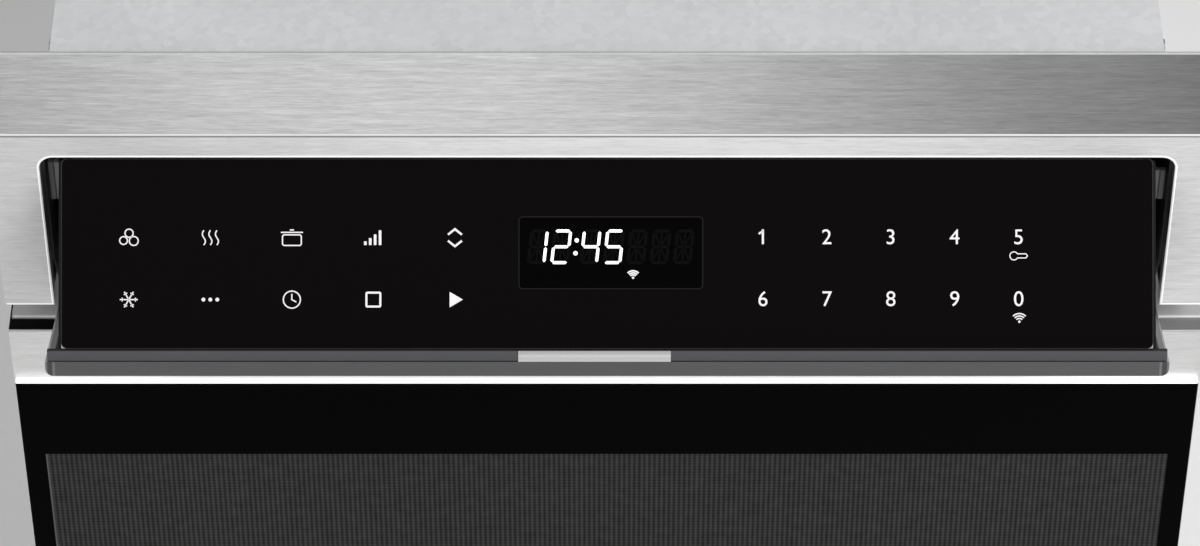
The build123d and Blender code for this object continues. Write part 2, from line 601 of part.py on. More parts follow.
with BuildPart() as damper_bracket:
    with BuildSketch(side(DAMPER_FACE + DAMPER_BODY)):
        with BuildLine():
            Polyline(
                (PIVOT.Y - 2, PIVOT_Z + 4), (DAMPER_Y - 9, DAMPER_Z), (DAMPER_Y - 5, DAMPER_Z + 9),
                (DAMPER_Y + 7, DAMPER_Z + 9), (DAMPER_Y + 11, DAMPER_Z), (PIVOT.Y + 25, HOUSING_FLOOR),
                (PIVOT.Y + 9, HOUSING_FLOOR), (PIVOT.Y + 5, PIVOT_Z - 8), close=True,
            )
        make_face()
    extrude(amount=2)
    slab(DAMPER_FACE + DAMPER_BODY + 2, DAMPER_FACE + DAMPER_BODY + 16, PIVOT_DEPTH + 9, PIVOT_DEPTH + 25,
         HOUSING_FLOOR, HOUSING_FLOOR + 2)
keep(damper_bracket, "damper_bracket")

# ---------------------------------------------------------------- drawer front
BAND_BOTTOM = DRAWER_TOP - BAND_HEIGHT
with BuildPart() as drawer_skin:
    with BuildSketch(face(0)):
        upright(-FRONT_HALF, FRONT_HALF, DRAWER_BOTTOM, DRAWER_TOP)
    extrude(amount=-DRAWER_FRONT_DEPTH)
    fillet(edges().filter_by(Axis.X).group_by(Axis.Z)[-1].sort_by(Axis.Y)[0], SHEET)
    slab(SHEET - FRONT_HALF, FRONT_HALF - SHEET, SHEET, DRAWER_FRONT_DEPTH,
         DRAWER_BOTTOM + SHEET, DRAWER_TOP - SHEET, mode=Mode.SUBTRACT)
    slab(SHEET - FRONT_HALF, FRONT_HALF - SHEET, SKIN_LEDGE, DRAWER_FRONT_DEPTH,
         DRAWER_TOP - SHEET, DRAWER_TOP, mode=Mode.SUBTRACT)
    with BuildSketch(face(0)):
        upright(-WINDOW_WIDTH / 2, WINDOW_WIDTH / 2, WINDOW_BOTTOM, WINDOW_TOP)
        fillet(vertices(), 3)
    extrude(amount=-SHEET, mode=Mode.SUBTRACT)
keep(drawer_skin, "drawer_skin")

with BuildPart() as drawer_glass:
    with BuildSketch(face(-GLASS_STEP)):
        upright(GLASS_INSET - FRONT_HALF, FRONT_HALF - GLASS_INSET, GLASS_BOTTOM, BAND_BOTTOM)
    extrude(amount=-GLASS_STEP)
    chamfer(faces().sort_by(Axis.Y)[0].edges(), 0.5)
keep(drawer_glass, "drawer_glass")

SCREEN_THICK = 0.6
SCREEN_MARGIN = 5.0
with BuildPart() as window_screen:
    with BuildSketch(face(SHEET)):
        upright(-WINDOW_WIDTH / 2 - SCREEN_MARGIN, WINDOW_WIDTH / 2 + SCREEN_MARGIN,
                WINDOW_BOTTOM - SCREEN_MARGIN, WINDOW_TOP + SCREEN_MARGIN)
    extrude(amount=-SCREEN_THICK)
keep(window_screen, "window_screen")

with BuildPart() as drawer_top_trim:
    trim_x = FRONT_HALF - SHEET
    slab(-trim_x, trim_x, SKIN_LEDGE + 0.8, DRAWER_FRONT_DEPTH, DRAWER_TOP - 0.5, DRAWER_TOP + TRIM_RISE)
    slab(-trim_x, trim_x, SKIN_LEDGE + 0.8, SKIN_LEDGE + 2.3, DRAWER_TOP - 3.5, DRAWER_TOP - 0.5)
    fillet(edges().filter_by(Axis.X).group_by(Axis.Z)[-1].sort_by(Axis.Y)[0], 0.8)
keep(drawer_top_trim, "drawer_top_trim")

FRAME_WALL = 2.0
FRAME_FRONT = SHEET + SCREEN_THICK
FRAME_HALF = FRONT_HALF - SHEET - 0.4
FRAME_Z = (DRAWER_BOTTOM + SHEET + 0.4, DRAWER_TOP - 4.0)
FRAME_BAR = 38.0
with BuildPart() as drawer_frame:
    with BuildSketch(face(FRAME_FRONT)):
        upright(-FRAME_HALF, FRAME_HALF, *FRAME_Z)
        with BuildSketch(mode=Mode.SUBTRACT):
            upright(FRAME_BAR - FRAME_HALF, FRAME_HALF - FRAME_BAR,
                    FRAME_Z[0] + FRAME_BAR, FRAME_Z[1] - FRAME_BAR)
    extrude(amount=FRAME_FRONT - DRAWER_FRONT_DEPTH)
    with BuildSketch(face(FRAME_FRONT + FRAME_WALL)):
        upright(FRAME_WALL - FRAME_HALF, FRAME_HALF - FRAME_WALL,
                FRAME_Z[0] + FRAME_WALL, FRAME_Z[1] - FRAME_WALL)
        with BuildSketch(mode=Mode.SUBTRACT):
            upright(FRAME_BAR - FRAME_WALL - FRAME_HALF, FRAME_HALF - FRAME_BAR + FRAME_WALL,
                    FRAME_Z[0] + FRAME_BAR - FRAME_WALL, FRAME_Z[1] - FRAME_BAR + FRAME_WALL)
    extrude(amount=FRAME_FRONT + FRAME_WALL - DRAWER_FRONT_DEPTH, mode=Mode.SUBTRACT)
keep(drawer_frame, "drawer_frame")

CHOKE_PLATE = 2.0
CHOKE_BACK = DRAWER_FRONT_DEPTH + CHOKE_PLATE
with BuildPart() as choke_plate:
    with BuildSketch(face(DRAWER_FRONT_DEPTH)):
        upright(-FRAME_HALF, FRAME_HALF, *FRAME_Z)
    extrude(amount=-CHOKE_PLATE)
keep(choke_plate, "choke_plate")

CHOKE_RING = 34.0
CHOKE_COVER_BACK = FLANGE_DEPTH - 2.5
with BuildPart() as choke_cover:
    with BuildSketch(face(CHOKE_BACK)):
        upright(-FRAME_HALF + 8, FRAME_HALF - 8, FRAME_Z[0] + 8, FRAME_Z[1] - 2)
        fillet(vertices(), 6)
        with BuildSketch(mode=Mode.SUBTRACT):
            upright(-FRAME_HALF + 8 + CHOKE_RING, FRAME_HALF - 8 - CHOKE_RING,
                    FRAME_Z[0] + 8 + CHOKE_RING, FRAME_Z[1] - 2 - CHOKE_RING)
            fillet(vertices(), 10)
    extrude(amount=CHOKE_BACK - CHOKE_COVER_BACK)
    fillet(faces().sort_by(Axis.Y)[-1].outer_wire().edges(), 2)
keep(choke_cover, "choke_cover")

with BuildPart() as latch_hooks:
    for hand in (-1, 1):
        with BuildSketch(side(hand * HOOK_X - 2)):
            with BuildLine():
                start = FRONT_Y + CHOKE_COVER_BACK
                Polyline(
                    (start, HOOK_Z - 7), (start + 22, HOOK_Z - 7), (start + 26, HOOK_Z - 2),
                    (start + 20, HOOK_Z + 4), (start + 16, HOOK_Z - 1), (start + 7, HOOK_Z - 1),
                    (start + 3, HOOK_Z + 7), (start, HOOK_Z + 7), close=True,
                )
            make_face()
        extrude(amount=4)
keep(latch_hooks, "latch_hooks")

# ---------------------------------------------------------------- tub
TUB_HALF = TUB_WIDTH / 2
TUB_TOP = TUB_FLOOR_Z + TUB_HEIGHT
TUB_MID_Y = FRONT_Y + (TUB_FRONT + TUB_BACK) / 2
with BuildPart() as drawer_tub:
    with BuildSketch(Plane.XY.offset(TUB_FLOOR_Z - TUB_SHEET)):
        with Locations((0, TUB_MID_Y)):
            RectangleRounded(TUB_WIDTH + 2 * TUB_SHEET, TUB_LENGTH + 2 * TUB_SHEET, TUB_CORNER + TUB_SHEET)
    extrude(amount=TUB_HEIGHT + TUB_SHEET)
    fillet(faces().sort_by(Axis.Z)[0].edges(), 5 + TUB_SHEET)
    offset(amount=-TUB_SHEET, openings=faces().sort_by(Axis.Z)[-1])
    with BuildSketch(Plane.XY.offset(TUB_TOP - TUB_SHEET)):
        with Locations((0, TUB_MID_Y)):
            RectangleRounded(TUB_WIDTH + 2 * TUB_RIM, TUB_LENGTH + 2 * TUB_SHEET, TUB_CORNER + TUB_SHEET)
        with Locations((0, TUB_MID_Y + TUB_LENGTH / 4)):
            RectangleRounded(TUB_WIDTH + 2 * TUB_RIM, TUB_LENGTH / 2 + 2 * TUB_RIM, TUB_CORNER + TUB_RIM)
        with Locations((0, TUB_MID_Y)):
            RectangleRounded(TUB_WIDTH, TUB_LENGTH, TUB_CORNER, mode=Mode.SUBTRACT)
    extrude(amount=TUB_SHEET)
keep(drawer_tub, "drawer_tub")

FLOOR_PLATE = 4.0
FLOOR_CLEAR = 6.0
with BuildPart() as tub_floor_plate:
    with BuildSketch(Plane.XY.offset(TUB_FLOOR_Z)):
        with Locations((0, TUB_MID_Y)):
            RectangleRounded(TUB_WIDTH - 2 * FLOOR_CLEAR, TUB_LENGTH - 2 * FLOOR_CLEAR, TUB_CORNER - 4)
    extrude(amount=FLOOR_PLATE)
keep(tub_floor_plate, "tub_floor_plate")

# ---------------------------------------------------------------- runners
OUTER_RAIL = (66.0, 560.0)
MID_RAIL = (90.0, 540.0)
INNER_RAIL = (62.0, 500.0)
RAIL_DEPTH = 14.0
RAIL_STEP = RAIL_SHEET + RAIL_GAP
RAIL_WEB_STEP = 3.5


def channel(hand, x, half_height, lip, span):
    """C-shaped rail in the open BuildPart, its web's outer face at x and its lips towards the tub."""
    outer = sorted((hand * x, hand * (x - lip)))
    slab(*outer, *span, RAIL_Z - half_height, RAIL_Z + half_height)
    inner = sorted((hand * (x - RAIL_SHEET), hand * (x - lip)))
    slab(*inner, *span, RAIL_Z - half_height + RAIL_SHEET, RAIL_Z + half_height - RAIL_SHEET, mode=Mode.SUBTRACT)


for hand, name in ((-1, "left"), (1, "right")):
    with BuildPart() as outer_rail:
        channel(hand, RAIL_OUTER_X, RAIL_HEIGHT / 2, RAIL_DEPTH, OUTER_RAIL)
        for start in (OUTER_RAIL[0] + 20, OUTER_RAIL[1] - 60):
            bracket = sorted((hand * RAIL_OUTER_X, hand * INNER_HALF))
            slab(*bracket, start, start + 36, RAIL_Z - 17, RAIL_Z + 17)
            hollow = sorted((hand * RAIL_OUTER_X, hand * (INNER_HALF - 2)))
            slab(*hollow, start, start + 36, RAIL_Z - 15, RAIL_Z + 15, mode=Mode.SUBTRACT)
    keep(outer_rail, f"outer_rail_{name}")

    with BuildPart() as mid_rail:
        channel(hand, RAIL_OUTER_X - RAIL_WEB_STEP, RAIL_HEIGHT / 2 - RAIL_STEP, RAIL_DEPTH - 3, MID_RAIL)
    keep(mid_rail, f"mid_rail_{name}")

    with BuildPart() as inner_rail:
        channel(hand, RAIL_OUTER_X - 2 * RAIL_WEB_STEP, RAIL_HEIGHT / 2 - 2 * RAIL_STEP, RAIL_DEPTH - 6, INNER_RAIL)
        arm = sorted((hand * (TUB_HALF + TUB_SHEET), hand * (RAIL_OUTER_X - 2 * RAIL_WEB_STEP - RAIL_SHEET)))
        slab(*arm, INNER_RAIL[0], TUB_BACK - TUB_CORNER, RAIL_Z - 1, RAIL_Z + 1)
        foot = sorted((hand * (TUB_HALF + TUB_SHEET), hand * (TUB_HALF + TUB_SHEET + 2)))
        slab(*foot, INNER_RAIL[0] + 10, TUB_BACK - TUB_CORNER, RAIL_Z + 1, RAIL_Z + 18)
    keep(inner_rail, f"inner_rail_{name}")

# ---------------------------------------------------------------- drawer drive
PINION_R = RACK_MODULE * PINION_TEETH / 2
PINION_DEPTH = 95.0
RACK_HALF = 6.0
TUB_UNDER = TUB_FLOOR_Z - TUB_SHEET
PITCH_Z = 54.0
PINION_Z = PITCH_Z - PINION_R
RACK_ROOT = PITCH_Z + DEDENDUM * RACK_MODULE
RACK_TIP = PITCH_Z - ADDENDUM * RACK_MODULE
RACK_PITCH = pi * RACK_MODULE
RACK_BACK = 492.0
RACK_FRONT = 62.0
SHAFT_R = 4.0
with BuildPart() as drive_rack:
    slope = tan(radians(PRESSURE))
    half = (RACK_PITCH / 2 - BACKLASH) / 2
    first = -int((PINION_DEPTH - RACK_FRONT - RACK_PITCH) / RACK_PITCH)
    last = int((RACK_BACK - PINION_DEPTH - RACK_PITCH) / RACK_PITCH)
    with BuildSketch(side(-RACK_HALF)):
        with Locations((FRONT_Y + (RACK_FRONT + RACK_BACK) / 2, RACK_ROOT + 2.75)):
            Rectangle(RACK_BACK - RACK_FRONT, 5.5)
        with BuildSketch(mode=Mode.PRIVATE) as rack_tooth:
            with BuildLine():
                foot_half = half + (RACK_ROOT - PITCH_Z) * slope
                tip_half = half - (PITCH_Z - RACK_TIP) * slope
                Polyline((-foot_half, RACK_ROOT), (-tip_half, RACK_TIP), (tip_half, RACK_TIP),
                         (foot_half, RACK_ROOT), (foot_half, RACK_ROOT + 1), (-foot_half, RACK_ROOT + 1), close=True)
            make_face()
        with Locations(*[(FRONT_Y + PINION_DEPTH + n * RACK_PITCH, 0) for n in range(first, last + 1)]):
            add(rack_tooth.sketch)
    extrude(amount=2 * RACK_HALF)
    slab(-2, 2, RACK_FRONT, TUB_BACK - 20, RACK_ROOT + 5.5, TUB_UNDER - 2)
    slab(-14, 14, RACK_FRONT, TUB_BACK - 20, TUB_UNDER - 2, TUB_UNDER)
keep(drive_rack, "drive_rack")

GEARBOX_X = 10.0
GEARBOX_WIDTH = 26.0
with BuildPart() as drive_pinion:
    with BuildSketch(side(-RACK_HALF)):
        with Locations((FRONT_Y + PINION_DEPTH, PINION_Z)):
            Circle(PINION_R - DEDENDUM * RACK_MODULE)
            with PolarLocations(0, PINION_TEETH, start_angle=90 + 180 / PINION_TEETH):
                add(gear_tooth(RACK_MODULE, PINION_TEETH))
    extrude(amount=2 * RACK_HALF)
    with BuildSketch(side(-16)):
        with Locations((FRONT_Y + PINION_DEPTH, PINION_Z)):
            Circle(SHAFT_R)
    extrude(amount=16 + GEARBOX_X + 18)
keep(drive_pinion, "drive_pinion")

with BuildPart() as pinion_bearing:
    with BuildSketch(side(-15)):
        with Locations((FRONT_Y + PINION_DEPTH, PINION_Z)):
            Circle(11)
        with Locations((FRONT_Y + PINION_DEPTH, (PINION_Z + FLOOR_SHEET) / 2)):
            Rectangle(22, PINION_Z - FLOOR_SHEET)
        with Locations((FRONT_Y + PINION_DEPTH, PINION_Z)):
            Circle(SHAFT_R + RUNNING_GAP, mode=Mode.SUBTRACT)
    extrude(amount=5)
    slab(-30, -15, PINION_DEPTH - 11, PINION_DEPTH + 11, FLOOR_SHEET, FLOOR_SHEET + 3)
keep(pinion_bearing, "pinion_bearing")

with BuildPart() as drive_gearbox:
    with BuildSketch(side(GEARBOX_X)):
        with Locations((FRONT_Y + PINION_DEPTH, PINION_Z)):
            Circle(20)
        with Locations((FRONT_Y + PINION_DEPTH + 28, PINION_Z)):
            Circle(16)
        with Locations((FRONT_Y + PINION_DEPTH + 14, PINION_Z)):
            Rectangle(28, 32)
        with Locations((FRONT_Y + PINION_DEPTH + 14, (PINION_Z + FLOOR_SHEET) / 2)):
            Rectangle(40, PINION_Z - FLOOR_SHEET)
    extrude(amount=GEARBOX_WIDTH)
    with BuildSketch(side(GEARBOX_X)):
        with Locations((FRONT_Y + PINION_DEPTH, PINION_Z)):
            Circle(SHAFT_R + RUNNING_GAP)
    extrude(amount=18.5, mode=Mode.SUBTRACT)
keep(drive_gearbox, "drive_gearbox")

MOTOR_R = 15.0
with BuildPart() as drive_motor:
    with BuildSketch(side(GEARBOX_X + GEARBOX_WIDTH)):
        with Locations((FRONT_Y + PINION_DEPTH + 28, PINION_Z)):
            Circle(MOTOR_R)
    extrude(amount=48)
    with BuildSketch(side(GEARBOX_X + GEARBOX_WIDTH + 48)):
        with Locations((FRONT_Y + PINION_DEPTH + 28, PINION_Z)):
            Circle(6)
    extrude(amount=4)
keep(drive_motor, "drive_motor")

# ---------------------------------------------------------------- cavity roof and microwave feed
STIR_HALF = 80.0
STIR_DEPTH = TUB_FRONT + TUB_LENGTH / 2 + 6
CEILING_TOP = CEILING_Z + PLATE
GUIDE_TOP = CEILING_TOP + 31.5
GUIDE_HALF = 45.0
ANTENNA_DEPTH = STIR_DEPTH + 1.75 * STIR_HALF
GUIDE_BACK = ANTENNA_DEPTH + GUIDE_HALF
FOOT_SHEET = 2.0
with BuildPart() as cavity_ceiling:
    slab(-INNER_HALF, INNER_HALF, FRAME_DEPTH, BODY_REAR - FLOOR_SHEET, CEILING_Z, CEILING_TOP)
    with BuildSketch(Plane.XY.offset(CEILING_Z)):
        with Locations((0, FRONT_Y + STIR_DEPTH)):
            Rectangle(2 * STIR_HALF, 2 * STIR_HALF)
    extrude(amount=PLATE, mode=Mode.SUBTRACT)
keep(cavity_ceiling, "cavity_ceiling")

with BuildPart() as stirrer_cover:
    slab(-STIR_HALF, STIR_HALF, STIR_DEPTH - STIR_HALF, STIR_DEPTH + STIR_HALF, CEILING_Z, CEILING_Z + 0.8)
keep(stirrer_cover, "stirrer_cover")

STIR_SHAFT = 3.0
ANTENNA_R = 9.0
with BuildPart() as waveguide:
    slab(-STIR_HALF - 5, STIR_HALF + 5, STIR_DEPTH - STIR_HALF - 5, STIR_DEPTH + STIR_HALF + 5, CEILING_TOP, GUIDE_TOP)
    slab(-GUIDE_HALF, GUIDE_HALF, STIR_DEPTH + STIR_HALF, GUIDE_BACK, CEILING_TOP, GUIDE_TOP)
    slab(-STIR_HALF, STIR_HALF, STIR_DEPTH - STIR_HALF, STIR_DEPTH + STIR_HALF,
         CEILING_TOP, GUIDE_TOP - PLATE, mode=Mode.SUBTRACT)
    slab(PLATE - GUIDE_HALF, GUIDE_HALF - PLATE, STIR_DEPTH + STIR_HALF, GUIDE_BACK - PLATE,
         CEILING_TOP, GUIDE_TOP - PLATE, mode=Mode.SUBTRACT)
    with BuildSketch(Plane.XY.offset(GUIDE_TOP)):
        with Locations((0, FRONT_Y + STIR_DEPTH)):
            Circle(STIR_SHAFT + RUNNING_GAP)
        with Locations((0, FRONT_Y + ANTENNA_DEPTH)):
            Circle(ANTENNA_R + 1)
    extrude(amount=-PLATE, mode=Mode.SUBTRACT)
keep(waveguide, "waveguide")

STIRRER_Z = CEILING_TOP + 12.5
STIRRER_R = STIR_HALF - 18
with BuildPart() as stirrer_fan:
    with BuildSketch(Plane.XY.offset(STIRRER_Z)):
        with Locations((0, FRONT_Y + STIR_DEPTH)):
            Circle(12)
            with PolarLocations(STIRRER_R / 2, 4):
                Rectangle(STIRRER_R, 20)
            with PolarLocations(STIRRER_R - 14, 4, start_angle=12):
                Rectangle(24, 26)
    extrude(amount=1.0)
    with BuildSketch(Plane.XY.offset(STIRRER_Z)):
        with Locations((0, FRONT_Y + STIR_DEPTH)):
            Circle(STIR_SHAFT)
    extrude(amount=GUIDE_TOP - STIRRER_Z + 8)
keep(stirrer_fan, "stirrer_fan")

with BuildPart() as stirrer_motor:
    with BuildSketch(Plane.XY.offset(GUIDE_TOP)):
        with Locations((0, FRONT_Y + STIR_DEPTH)):
            Circle(25)
            with PolarLocations(30, 2):
                Circle(5)
            Rectangle(60, 10)
    extrude(amount=3)
    with BuildSketch(Plane.XY.offset(GUIDE_TOP + 3)):
        with Locations((0, FRONT_Y + STIR_DEPTH)):
            Circle(25)
    extrude(amount=16)
    with BuildSketch(Plane.XY.offset(GUIDE_TOP)):
        with Locations((0, FRONT_Y + STIR_DEPTH)):
            Circle(STIR_SHAFT + RUNNING_GAP)
    extrude(amount=9, mode=Mode.SUBTRACT)
keep(stirrer_motor, "stirrer_motor")

with BuildPart() as magnetron:
    slab(-GUIDE_HALF, GUIDE_HALF, ANTENNA_DEPTH - 38, ANTENNA_DEPTH + 38, GUIDE_TOP, GUIDE_TOP + 2)
    slab(-40, 40, ANTENNA_DEPTH - 30, ANTENNA_DEPTH + 30, GUIDE_TOP + 2, GUIDE_TOP + 72)
    slab(-38, 38, ANTENNA_DEPTH - 30, ANTENNA_DEPTH + 30, GUIDE_TOP + 4, GUIDE_TOP + 70, mode=Mode.SUBTRACT)
    with BuildSketch(Plane.XY.offset(GUIDE_TOP + 4)):
        with Locations((0, FRONT_Y + ANTENNA_DEPTH)):
            Circle(19)
    extrude(amount=66)
    for magnet_z in (GUIDE_TOP + 4, GUIDE_TOP + 58):
        with BuildSketch(Plane.XY.offset(magnet_z)):
            with Locations((0, FRONT_Y + ANTENNA_DEPTH)):
                Circle(27)
        extrude(amount=12)
    for fin in range(7):
        slab(-38, 38, ANTENNA_DEPTH - 28, ANTENNA_DEPTH + 28, GUIDE_TOP + 20 + 5.2 * fin, GUIDE_TOP + 20.8 + 5.2 * fin)
    with BuildSketch(Plane.XY.offset(GUIDE_TOP)):
        with Locations((0, FRONT_Y + ANTENNA_DEPTH)):
            Circle(ANTENNA_R)
    extrude(amount=-20)
    slab(-30, 30, ANTENNA_DEPTH - 28, ANTENNA_DEPTH + 28, GUIDE_TOP + 72, GUIDE_TOP + 100)
keep(magnetron, "magnetron")

# ---------------------------------------------------------------- power supply
TRANSFORMER_X = -190.0
TRANSFORMER_DEPTH = TUB_BACK - 14
CORE_WIDTH = 96.0
CORE_HEIGHT = 80.0
CORE_LENGTH = 70.0
COIL_HEIGHT = 21.0
COIL_LENGTH = 98.0
with BuildPart() as transformer:
    x = TRANSFORMER_X
    core_front = TRANSFORMER_DEPTH - CORE_LENGTH / 2
    slab(x - CORE_WIDTH / 2 - 4, x + CORE_WIDTH / 2 + 4, core_front - 10, core_front + CORE_LENGTH + 10,
         CEILING_TOP, CEILING_TOP + FOOT_SHEET)
    with BuildSketch(face(core_front)):
        upright(x - CORE_WIDTH / 2, x + CORE_WIDTH / 2, CEILING_TOP + FOOT_SHEET, CEILING_TOP + FOOT_SHEET + CORE_HEIGHT)
        core_mid = CEILING_TOP + FOOT_SHEET + CORE_HEIGHT / 2
        with Locations((x - CORE_WIDTH * 0.26, core_mid), (x + CORE_WIDTH * 0.26, core_mid)):
            Rectangle(CORE_WIDTH * 0.19, CORE_HEIGHT * 0.62, mode=Mode.SUBTRACT)
    extrude(amount=-CORE_LENGTH)
    for coil_z in (core_mid - COIL_HEIGHT - 2, core_mid + 2):
        with BuildSketch(Plane.XY.offset(coil_z)):
            with Locations((x, FRONT_Y + TRANSFORMER_DEPTH)):
                RectangleRounded(CORE_WIDTH * 0.69, COIL_LENGTH, 12)
        extrude(amount=COIL_HEIGHT)
keep(transformer, "transformer")

CAN_WIDTH = 54.0
CAN_THICK = 32.0
CAN_HEIGHT = 86.0
CAN_X = TRANSFORMER_X + CORE_WIDTH - 6
CAN_DEPTH = BODY_REAR - 88
with BuildPart() as hv_capacitor:
    with BuildSketch(Plane.XY.offset(CEILING_TOP)):
        with Locations((CAN_X, FRONT_Y + CAN_DEPTH)):
            SlotOverall(CAN_WIDTH, CAN_THICK)
    extrude(amount=CAN_HEIGHT)
    with BuildSketch(Plane.XY.offset(CEILING_TOP + CAN_HEIGHT)):
        with Locations((CAN_X, FRONT_Y + CAN_DEPTH)):
            with GridLocations(CAN_WIDTH * 0.37, 0, 2, 1):
                Circle(CAN_THICK / 8)
    extrude(amount=CAN_THICK * 3 / 8)
keep(hv_capacitor, "hv_capacitor")

BOARD_WIDTH = 160.0
BOARD_LENGTH = 120.0
BOARD_X = (INNER_HALF - 29.5 - BOARD_WIDTH, INNER_HALF - 29.5)
BOARD_SPAN = (TUB_BACK + 31 - BOARD_LENGTH, TUB_BACK + 31)
BOARD_Z = CEILING_TOP + 12
with BuildPart() as power_board:
    slab(*BOARD_X, *BOARD_SPAN, BOARD_Z, BOARD_Z + BOARD_THICK)
    with BuildSketch(Plane.XY.offset(CEILING_TOP)):
        with Locations((sum(BOARD_X) / 2, FRONT_Y + sum(BOARD_SPAN) / 2)):
            with GridLocations(BOARD_WIDTH - 16, BOARD_LENGTH - 16, 2, 2):
                Circle(3)
    extrude(amount=12)
    with BuildSketch(Plane.XY.offset(BOARD_Z + BOARD_THICK)):
        with Locations((BOARD_X[0] + 35, FRONT_Y + BOARD_SPAN[1] - 30)):
            with GridLocations(26, 0, 3, 1):
                Circle(10)
        with Locations((BOARD_X[1] - 25, FRONT_Y + BOARD_SPAN[0] + 45)):
            with GridLocations(0, 30, 1, 2):
                Rectangle(28, 22)
    extrude(amount=26)
    with BuildSketch(Plane.XY.offset(BOARD_Z + BOARD_THICK)):
        with Locations((BOARD_X[0] + 50, FRONT_Y + BOARD_SPAN[0] + 35)):
            Rectangle(70, 5)
            with GridLocations(9, 0, 8, 1):
                Rectangle(2, 36)
    extrude(amount=30)
keep(power_board, "power_board")

with BuildPart() as interlock_switches:
    for hand in (-1, 1):
        for number in range(2):
            start = FRAME_DEPTH + 26
            low = HOOK_Z - 12 + 13 * number
            bounds_x = sorted((hand * (HOOK_X - 4), hand * (HOOK_X + 7)))
            slab(*bounds_x, start, start + 28, low, low + 11)
        holder = sorted((hand * (HOOK_X + 7), hand * (HOOK_X + 9)))
        slab(*holder, FRAME_DEPTH, start + 30, HOOK_Z - 13, HOOK_Z + 14)
keep(interlock_switches, "interlock_switches")

# ---------------------------------------------------------------- cooling blower
WHEEL_R = SCROLL_R - 12
BLADES = 22
with BuildPart() as blower_housing:
    with BuildSketch(side(BLOWER_X)) as scroll:
        with Locations((FRONT_Y + BLOWER_DEPTH, BLOWER_Z)):
            Circle(SCROLL_R)
        with Locations((FRONT_Y + BLOWER_DEPTH - 35, BLOWER_Z + SCROLL_R - 18)):
            Rectangle(70, 36)
    extrude(amount=BLOWER_WIDTH)
    with BuildSketch(side(BLOWER_X + HOUSING_WALL)):
        with Locations((FRONT_Y + BLOWER_DEPTH, BLOWER_Z)):
            Circle(SCROLL_R - HOUSING_WALL)
        with Locations((FRONT_Y + BLOWER_DEPTH - 36, BLOWER_Z + SCROLL_R - 18)):
            Rectangle(72, 36 - 2 * HOUSING_WALL)
    extrude(amount=BLOWER_WIDTH - 2 * HOUSING_WALL, mode=Mode.SUBTRACT)
    with BuildSketch(side(BLOWER_X)):
        with Locations((FRONT_Y + BLOWER_DEPTH, BLOWER_Z)):
            Circle(30)
    extrude(amount=HOUSING_WALL, mode=Mode.SUBTRACT)
    with BuildSketch(side(BLOWER_X + BLOWER_WIDTH)):
        with Locations((FRONT_Y + BLOWER_DEPTH, BLOWER_Z)):
            Circle(6)
    extrude(amount=-HOUSING_WALL, mode=Mode.SUBTRACT)
    for foot_x in (BLOWER_X, BLOWER_X + BLOWER_WIDTH - HOUSING_WALL):
        with BuildSketch(side(foot_x)):
            with Locations((FRONT_Y + BLOWER_DEPTH, (CEILING_TOP + BLOWER_Z - 45) / 2)):
                Rectangle(50, BLOWER_Z - 45 - CEILING_TOP)
        extrude(amount=HOUSING_WALL)
keep(blower_housing, "blower_housing")

BLOWER_SHAFT = 3.0
with BuildPart() as blower_wheel:
    with BuildSketch(side(BLOWER_X + BLOWER_WIDTH - HOUSING_WALL - 4)):
        with Locations((FRONT_Y + BLOWER_DEPTH, BLOWER_Z)):
            Circle(WHEEL_R)
    extrude(amount=1.5)
    with BuildSketch(side(BLOWER_X + HOUSING_WALL + 4)):
        with Locations((FRONT_Y + BLOWER_DEPTH, BLOWER_Z)):
            with PolarLocations(WHEEL_R - 6, BLADES):
                Rectangle(10, 1, rotation=35)
    extrude(amount=BLOWER_WIDTH - 2 * HOUSING_WALL - 8)
    with BuildSketch(side(BLOWER_X + HOUSING_WALL + 4)):
        with Locations((FRONT_Y + BLOWER_DEPTH, BLOWER_Z)):
            Circle(WHEEL_R)
            Circle(WHEEL_R - 3, mode=Mode.SUBTRACT)
    extrude(amount=1.5)
    with BuildSketch(side(BLOWER_X + BLOWER_WIDTH - HOUSING_WALL - 14)):
        with Locations((FRONT_Y + BLOWER_DEPTH, BLOWER_Z)):
            Circle(7)
    extrude(amount=10)
    with BuildSketch(side(BLOWER_X + BLOWER_WIDTH - HOUSING_WALL - 14)):
        with Locations((FRONT_Y + BLOWER_DEPTH, BLOWER_Z)):
            Circle(BLOWER_SHAFT)
    extrude(amount=30)
keep(blower_wheel, "blower_wheel")

with BuildPart() as blower_motor:
    with BuildSketch(side(BLOWER_X + BLOWER_WIDTH)):
        with Locations((FRONT_Y + BLOWER_DEPTH, BLOWER_Z)):
            Circle(26)
            Circle(BLOWER_SHAFT + RUNNING_GAP, mode=Mode.SUBTRACT)
    extrude(amount=20)
    with BuildSketch(side(BLOWER_X + BLOWER_WIDTH + 20)):
        with Locations((FRONT_Y + BLOWER_DEPTH, BLOWER_Z)):
            Circle(26)
            Rectangle(64, 24)
    extrude(amount=16)
keep(blower_motor, "blower_motor")

# ---------------------------------------------------------------- chassis screws
with BuildPart() as chassis_screws:
    for hand in (-1, 1):
        spots = [(FRONT_Y + depth, z) for depth in SCREW_DEPTHS for z in (13, TOP_SCREW_Z)]
        with BuildSketch(side(hand * BODY_HALF)):
            with Locations(*spots):
                Circle(3.6)
        extrude(amount=hand * 1.8)
        with BuildSketch(side(hand * BODY_HALF)):
            with Locations(*spots):
                Circle(1.9)
        extrude(amount=-hand * 4)
keep(chassis_screws, "chassis_screws")

lengths = {"front plane Y": FRONT_Y, "pivot Y": PIVOT.Y, "pivot Z": PIVOT_Z, "damper Y": DAMPER_Y, "damper Z": DAMPER_Z}
print({name: round(value, 3) for name, value in lengths.items()})
